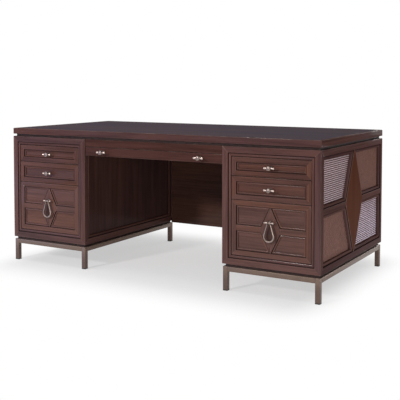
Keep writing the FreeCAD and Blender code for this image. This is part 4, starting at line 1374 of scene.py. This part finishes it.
class DESK_OT_drawer_boxes(DeskOperator, bpy.types.Operator):
    """Clear-finished drawer boxes on steel slides"""

    bl_idname = "desk.drawer_boxes"
    bl_label = "Drawer boxes"

    def build(self, sizes):
        drawers = ["%s_%s_drawer" % (name, drawer) for name in SIDES for drawer in PEDESTAL_DRAWERS]
        for drawer in drawers + ["pencil_drawer"]:
            node = drawer + "_box"
            low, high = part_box(node)
            boards = Boards(node)
            wall = sizes.box_wall
            count = max(1, round((high.z - low.z) / sizes.pin_pitch))
            step = (high.z - low.z) / count
            pins = [low.z + (i + 0.5) * step for i in range(count)]
            for x in (low.x, high.x - wall):
                self.dovetailed_side(boards, sizes, x, low, high, pins)
            for y in (low.y, high.y - wall):
                end = block((low.x + wall, y, low.z), (high.x - wall, y + wall, high.z))
                boards.add(end, ALONG_X, sizes.arris)
            floor = low.z + sizes.box_bottom
            bottom = block((low.x + wall, low.y + wall, floor),
                           (high.x - wall, high.y - wall, floor + sizes.box_bottom))
            boards.add(bottom, ALONG_X)
            hand_over(boards.piece(node + "_boards", "drawer_wood"), node)
            dress(drawer + "_slides", "slide_steel")
        for name in SIDES:
            dress(name + "_file_slide_middles", "slide_steel")
            dress(name + "_file_drawer_rails", "rail_aluminium")
        dress("cabinet_slides", "slide_steel")

    def dovetailed_side(self, boards, sizes, x, low, high, pins):
        """A side with tails cut at both its ends, and the ends' pins between them."""
        wall, tip, root = sizes.box_wall, sizes.pin / 2, sizes.pin_root / 2
        corners = {"front": (low.y, low.y + wall), "back": (high.y, high.y - wall)}
        sockets = {end: [[(y, z - tip), (inner, z - root), (inner, z + root), (y, z + tip)] for z in pins]
                   for end, (y, inner) in corners.items()}
        outline = [(low.y, low.z), (high.y, low.z)]
        outline += [corner for socket in sockets["back"] for corner in socket]
        outline += [(high.y, high.z), (low.y, high.z)]
        outline += [corner for socket in sockets["front"][::-1] for corner in socket[::-1]]
        shape = slab([(x, y, z) for y, z in outline], [(x + wall, y, z) for y, z in outline])
        half = (high.y - low.y) / 2
        short = [edge for edge in shape.edges if abs(edge.verts[0].co.y - edge.verts[1].co.y) < half]
        boards.add(shape, ALONG_Y, sizes.arris, sharp=short)
        for socket in sockets["front"] + sockets["back"]:
            pin = slab([(x, y, z) for y, z in socket], [(x + wall, y, z) for y, z in socket])
            boards.add(pin, ALONG_X, sizes.arris / 4, tone=END_GRAIN_TONE)


class DESK_OT_screws(DeskOperator, bpy.types.Operator):
    """Cross-recessed screws under the top and through the bases' corner plates"""

    bl_idname = "desk.screws"
    bl_label = "Screws"

    def build(self, sizes):
        base_low, base_high = right_box("base_frame")
        side_low, side_high = right_box("outer_frame")
        _, inner_high = right_box("inner_side")
        inset = sizes.base_screw_inset
        base_seats = [(x, y, base_high.z - sizes.corner_plate_thickness)
                      for x in (base_low.x + inset, base_high.x - inset)
                      for y in (base_low.y + inset, base_high.y - inset)]
        middle_y = (side_low.y + side_high.y) / 2
        top_seats = [(x, middle_y + sign * sizes.top_screw_pitch / 2, side_high.z - sizes.carcase_board)
                     for x in (inner_high.x + sizes.top_screw_inner_inset,
                               side_high.x - sizes.top_screw_inset)
                     for sign in (-1, 1)]
        tree = screw_tree()
        meshes = [self.screws(tree, sizes, top_seats, sizes.top_screw),
                  self.screws(tree, sizes, base_seats, sizes.base_screw)]
        piece = Boards("screws").piece("assembly_screw_set", "slide_steel")
        piece = joined(piece, meshes, "assembly_screw_set")
        piece.data.set_sharp_from_angle(angle=math.radians(BOARD_SHARP))
        hand_over(piece, "assembly_screws")

    def screws(self, tree, sizes, seats, reach):
        """Screws of one length in the seats of both pedestals, their heads downwards."""
        shank = sizes.screw / 2
        profile = [(-reach, 0.0), (-reach, 0.4 * shank), (2 * shank - reach, shank), (0.0, shank)]
        shape = turned(profile + pan_head(sizes.screw_head, sizes.pull_screw_height), (0, 0, 0), (0, 0, -1),
                       SCREW_SIDES)
        pattern_mesh = bpy.data.meshes.new("screw_pattern")
        shape.to_mesh(pattern_mesh)
        shape.free()
        pattern = new_object("screw_pattern", pattern_mesh)
        points = bpy.data.meshes.new("screw_seats")
        points.from_pydata([(x * side, y, z) for x, y, z in seats for side in SIDES.values()], [], [])
        values = {"Screw": pattern, "Largest Turn": math.pi / 2, "Seed": SCREW_SEED,
                  "Finish": finish("slide_steel")}
        result = grown(tree, points, values)
        bpy.data.objects.remove(pattern)
        return result


def round_end(start, radius, steps=8):
    """A half ball at the end of a turned arm."""
    angles = [math.pi / 2 * i / steps for i in range(steps)]
    return [(start + radius * math.sin(a), radius * math.cos(a)) for a in angles] + [(start + radius, 0.0)]


# Where the groove lies on a pull's drum, as a share of the drum's length
DRUM_GROOVE = 0.31


def boss_profile(sizes):
    """Rosette, neck and drum, with a ringed face."""
    rosette, neck, drum, reach = sizes.rosette / 2, sizes.boss_neck / 2, sizes.boss / 2, sizes.pull_length
    edge, step = sizes.turned_edge, sizes.turned_edge / 2
    groove = sizes.boss_head + DRUM_GROOVE * (reach - sizes.boss_head)
    return [(0.0, 0.0), (0.0, rosette), (step, rosette), (sizes.rosette_thickness, rosette - edge),
            (sizes.rosette_thickness, neck + step), (sizes.rosette_thickness + step, neck),
            (sizes.boss_head, neck), (sizes.boss_head, drum - edge), (sizes.boss_head + edge, drum),
            (groove, drum), (groove + step, drum - step), (groove + edge, drum - step),
            (groove + edge + step, drum),
            (reach - edge, drum), (reach, drum - edge), (reach, 0.70 * drum), (reach - edge, 0.64 * drum),
            (reach - edge, 0.54 * drum), (reach - step, 0.46 * drum), (reach - step, 0.20 * drum),
            (reach, 0.10 * drum), (reach, 0.0)]


def post_profile(sizes):
    """Rosette and plain post of a file drawer's pull."""
    rosette, post, reach = sizes.file_rosette / 2, sizes.file_post / 2, sizes.file_post_length
    edge = sizes.turned_edge
    return [(0.0, 0.0), (0.0, rosette), (edge / 2, rosette), (sizes.rosette_thickness, rosette - edge),
            (sizes.rosette_thickness, post), (reach - edge, post), (reach, post - edge), (reach, 0.0)]


def arm_profile(sizes, bar):
    """Slim neck, a flare with a ring cut in it, and a ball at the end."""
    neck, tip = sizes.arm_neck / 2, sizes.arm_tip / 2
    ball = bar / 2 - tip
    groove = sizes.turned_edge / 2
    waist = sizes.arm_neck_run
    flare = tip - neck
    shape = [(0.0, 0.0), (0.0, neck), (waist, neck), (waist + 0.4 * (ball - waist), neck + 0.3 * flare)]
    shape += [(ball - 5 * groove, neck + 0.65 * flare), (ball - 4 * groove, neck + 0.40 * flare),
              (ball - 2 * groove, neck + 0.40 * flare), (ball - groove, tip - groove)]
    return shape + round_end(ball, tip)


def add_pull(boards, sizes, base, seat_y, stem, stand_off, bar, arm_tone):
    """A stem on the drawer's front, an arm to each side and the screw's head inside the drawer."""
    sides = sizes.turned_sides
    outward = Vector((0, -1, 0))
    boards.add(turned(stem, base, outward, sides), outward, tone=STEM_TONE)
    for side in (-1, 1):
        arm = turned(arm_profile(sizes, bar), base + outward * stand_off, (side, 0, 0), sides)
        boards.add(arm, ALONG_X, tone=arm_tone)
    head_profile = [(0.0, 0.0)] + pan_head(sizes.pull_screw_head, sizes.pull_screw_height)
    head = turned(head_profile, (base.x, seat_y, base.z), (0, 1, 0), SCREW_SIDES)
    boards.add(head, ALONG_Y, tone=SCREW_TONE)


def swept(path, radii, sides):
    """A round rod along points that lie in an XZ plane."""
    shape = bmesh.new()
    rings = []
    for i, (point, radius) in enumerate(zip(path, radii)):
        ahead = path[min(i + 1, len(path) - 1)] - path[max(i - 1, 0)]
        across = Vector((0, 1, 0))
        beside = ahead.normalized().cross(across)
        angles = [2 * math.pi * k / sides for k in range(sides)]
        rings.append([shape.verts.new(point + (across * math.cos(a) + beside * math.sin(a)) * radius)
                      for a in angles])
    for ring, following in zip(rings, rings[1:]):
        for k in range(sides):
            j = (k + 1) % sides
            shape.faces.new((ring[k], ring[j], following[j], following[k]))
    shape.faces.new(rings[0])
    shape.faces.new(rings[-1])
    bmesh.ops.recalc_face_normals(shape, faces=shape.faces)
    return shape


BAIL_STRAIGHT_STEPS = 10


def teardrop(sizes, middle, steps=36):
    """The bail's middle line: straight from each eye, then round the bottom."""
    bend = (sizes.bail_width - sizes.bail_rod) / 2
    bend_middle = middle - Vector((0, 0, sizes.bail_drop - sizes.bail_rod / 2 - bend))
    root = middle + Vector((sizes.eye_reach, 0, -sizes.bail_root))
    reach = root - bend_middle
    angle = math.atan2(reach.z, reach.x) - math.acos(bend / reach.length)
    turns = [angle + (-math.pi - 2 * angle) * i / steps for i in range(steps + 1)]
    arc = [bend_middle + Vector((math.cos(a), 0, math.sin(a))) * bend for a in turns]
    far_root = middle + Vector((-sizes.eye_reach, 0, -sizes.bail_root))
    straight = BAIL_STRAIGHT_STEPS
    down = [root.lerp(arc[0], i / straight) for i in range(straight)]
    rise = [arc[-1].lerp(far_root, (i + 1) / straight) for i in range(straight)]
    return down + arc + rise


class DESK_OT_pulls(DeskOperator, bpy.types.Operator):
    """Turned pulls on all the drawers"""

    bl_idname = "desk.pulls"
    bl_label = "Pulls"

    def build(self, sizes):
        small = (boss_profile(sizes), sizes.small_stand_off, sizes.small_bar, PALEST_TONE)
        large = (post_profile(sizes), sizes.file_stand_off, sizes.file_bar, FILE_ARM_TONE)
        for name in SIDES:
            for drawer in PEDESTAL_DRAWERS:
                node = "%s_%s_drawer_pull" % (name, drawer)
                low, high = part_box(node)
                front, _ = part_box("%s_%s_drawer_front" % (name, drawer))
                is_file = drawer == "file"
                base = Vector(((low.x + high.x) / 2, front.y, (low.z + high.z) / 2))
                if not is_file:
                    base.y += sizes.front_relief
                boards = Boards(node)
                kind = large if is_file else small
                add_pull(boards, sizes, base, high.y - sizes.pull_screw_height, *kind)
                hand_over(boards.piece(node + "_turned", "pull_metal", TURNED_SHARP), node)
        low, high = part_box("pencil_drawer_pulls")
        front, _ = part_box("pencil_drawer_front")
        boards = Boards("pencil_pulls")
        for x in (low.x + sizes.small_bar / 2, high.x - sizes.small_bar / 2):
            base = Vector((x, front.y, (low.z + high.z) / 2))
            add_pull(boards, sizes, base, high.y - sizes.pull_screw_height, *small)
        hand_over(boards.piece("pencil_drawer_pulls_turned", "pull_metal", TURNED_SHARP),
                  "pencil_drawer_pulls")


class DESK_OT_bails(DeskOperator, bpy.types.Operator):
    """Teardrop bails that swing on the file drawers' pulls"""

    bl_idname = "desk.bails"
    bl_label = "Bails"

    def build(self, sizes):
        for name in SIDES:
            node = name + "_file_bail"
            low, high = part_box(node)
            eye = sizes.bail_eye / 2
            middle = Vector(((low.x + high.x) / 2, (low.y + high.y) / 2, high.z - eye))
            path = teardrop(sizes, middle)
            thick, thin = sizes.bail_rod / 2, sizes.bail_rod_top / 2
            shares = [math.sin(math.pi * i / (len(path) - 1)) for i in range(len(path))]
            radii = [thin + (thick - thin) * share for share in shares]
            boards = Boards(node)
            sides = sizes.turned_sides // 2
            # The rod is paler on one side of its round and darker on the other: partly wear, partly painted
            # shade and highlight
            rod_wear_and_shade = [BAIL_TONE + BAIL_WEAR_AND_SHADE_CHANGE * math.sin(2 * math.pi * k / sides)
                         for k in range(sides)]
            boards.add(swept(path, radii, sides), UP, tone=rod_wear_and_shade * len(path))
            bore, half, edge = sizes.bail_bore / 2, sizes.eye_thickness / 2, sizes.turned_edge
            ring = [(-half, bore), (-half, eye - edge), (-half + edge, eye), (half - edge, eye),
                    (half, eye - edge), (half, bore), (-half, bore)]
            for side in (-1, 1):
                place = middle + Vector((side * sizes.eye_reach, 0, 0))
                boards.add(turned(ring, place, ALONG_X, sizes.turned_sides), ALONG_X, tone=EYE_TONE)
            hand_over(boards.piece(node + "_rod", "pull_metal", TURNED_SHARP), node)


# Each lamp's place, the point that it faces, its width and its tint
LAMPS = {
    "key": ((-1.9, -6.4, 3.1), (0.1, -0.4, 0.4), 0.55, (0.98, 0.95, 0.95)),
    "warm": ((3.0, -4.2, 0.7), (0.6, -0.4, 0.3), 1.6, (1.0, 0.90, 0.80)),
    "overhead": ((-0.9, -0.4, 3.4), (-0.2, -0.2, 0.6), 1.6, WHITE),
    "sheen": ((-2.7, -2.3, 0.6), (-0.7, -0.4, 0.3), 1.4, (0.34, 0.46, 1.0)),
    "back": ((0.7, 4.8, 1.2), (0.0, 0.4, 0.35), 1.8, (1.0, 0.97, 0.95)),
    "side": ((2.2, 1.0, 0.12), (0.9, 0.2, 0.3), 0.6, (0.96, 0.94, 1.0)),
}
FLOOR_RADIUS = 30.0
FLOOR_SIDES = 96


class DESK_OT_stage(DeskOperator, bpy.types.Operator):
    """Pale floor, soft studio light and the camera"""

    bl_idname = "desk.stage"
    bl_label = "Stage"

    def build(self, sizes):
        stage = bpy.context.scene.desk_stage
        bpy.context.scene.view_settings.view_transform = "Standard"
        self.floor(stage)
        self.world(stage)
        for name, (place, target, size, tint) in LAMPS.items():
            self.lamp(name + "_lamp", place, target, size, getattr(stage, name + "_power"), tint)
        camera = new_object("camera", bpy.data.cameras.new("camera"))
        camera.location = stage.camera_place
        camera.rotation_euler = (math.pi / 2 - stage.camera_pitch, 0.0, stage.camera_turn)
        camera.data.lens = stage.lens
        camera.data.shift_x = stage.shift_x
        camera.data.shift_y = stage.shift_y
        bpy.context.scene.camera = camera

    def seen(self, start):
        """1 for the rays that see the background, 0 for the light that falls on things."""
        rays = start.node("ShaderNodeLightPath", out="Is Camera Ray")
        outputs = rays.socket.node.outputs
        total = rays + Wire(start.tree, outputs["Is Glossy Ray"])
        return (total + Wire(start.tree, outputs["Is Transmission Ray"])).clamped()

    def floor(self, stage):
        shape = bmesh.new()
        bmesh.ops.create_circle(shape, cap_ends=True, segments=FLOOR_SIDES, radius=FLOOR_RADIUS)
        mesh = bpy.data.meshes.new("floor")
        shape.to_mesh(mesh)
        shape.free()
        obj = new_object("floor", mesh)
        material, start = new_material("studio_floor")
        _, high = cad_box
        reach = object_place(start).beyond(high[0] - stage.floor_clear_side, high[1], 0.0)
        reach = start.vector_sum("MAXIMUM", reach, (0.0, 0.0, 0.0))
        away = reach.stretched(0.5 / stage.floor_clear_side, 1.0 / stage.floor_clear, 0.0).size()
        plain = start.node("ShaderNodeBsdfDiffuse", {}, {"Color": opaque(stage.floor)})
        white = start.node("ShaderNodeEmission", {}, {"Strength": 1.0})
        glow = stage.floor_glow + away.ramp(0.0, 1.0) * (1.0 - stage.floor_glow)
        share = (glow * self.seen(start)).clamped()
        surface = start.node("ShaderNodeMixShader", {}, {"Fac": share, 1: plain, 2: white})
        start.node("ShaderNodeOutputMaterial", {}, {"Surface": surface})
        mesh.materials.append(material)

    def world(self, stage):
        world = bpy.data.worlds.new("studio")
        world.use_nodes = True
        world.node_tree.nodes.clear()
        start = Wire(world.node_tree)
        strength = stage.ambient + self.seen(start) * (1.0 - stage.ambient)
        light = start.node("ShaderNodeBackground", {}, {"Color": opaque(WHITE), "Strength": strength})
        start.node("ShaderNodeOutputWorld", {}, {"Surface": light})
        bpy.context.scene.world = world

    def lamp(self, name, place, target, size, power, tint):
        data = bpy.data.lights.new(name, "AREA")
        data.size = size
        data.energy = power
        data.color = tint
        obj = new_object(name, data)
        obj.location = place
        obj.visible_camera = False
        obj.rotation_euler = (Vector(target) - Vector(place)).to_track_quat("-Z", "Y").to_euler()


PIECE_OPERATORS = (DESK_OT_top, DESK_OT_face_frames, DESK_OT_panelled_walls, DESK_OT_cane_sides,
                   DESK_OT_carcase, DESK_OT_bases, DESK_OT_drawer_fronts, DESK_OT_drawer_boxes,
                   DESK_OT_screws, DESK_OT_pulls, DESK_OT_bails, DESK_OT_stage)


class DESK_PT_looks(bpy.types.Panel):
    """Lists the desk's pieces"""

    bl_idname = "DESK_PT_looks"
    bl_label = "Desk looks"
    bl_space_type = "VIEW_3D"
    bl_region_type = "UI"
    bl_category = "Desk"

    def draw(self, context):
        for operator in PIECE_OPERATORS:
            self.layout.operator(operator.bl_idname)
        for group in (context.scene.desk_sizes, context.scene.desk_colours, context.scene.desk_stage):
            box = self.layout.box()
            for name in group.bl_rna.properties.keys():
                if name not in ("rna_type", "name"):
                    box.prop(group, name)


CLASSES = (DeskSizes, DeskColours, DeskStage, *PIECE_OPERATORS, DESK_PT_looks)


def register():
    for entry in CLASSES:
        bpy.utils.register_class(entry)
    bpy.types.Scene.desk_sizes = PointerProperty(type=DeskSizes)
    bpy.types.Scene.desk_colours = PointerProperty(type=DeskColours)
    bpy.types.Scene.desk_stage = PointerProperty(type=DeskStage)


def unregister():
    del bpy.types.Scene.desk_sizes
    del bpy.types.Scene.desk_colours
    del bpy.types.Scene.desk_stage
    for entry in reversed(CLASSES):
        bpy.utils.unregister_class(entry)


def main():
    register()
    for operator in PIECE_OPERATORS:
        group, name = operator.bl_idname.split(".")
        getattr(getattr(bpy.ops, group), name)()


if __name__ == "__main__":
    main()
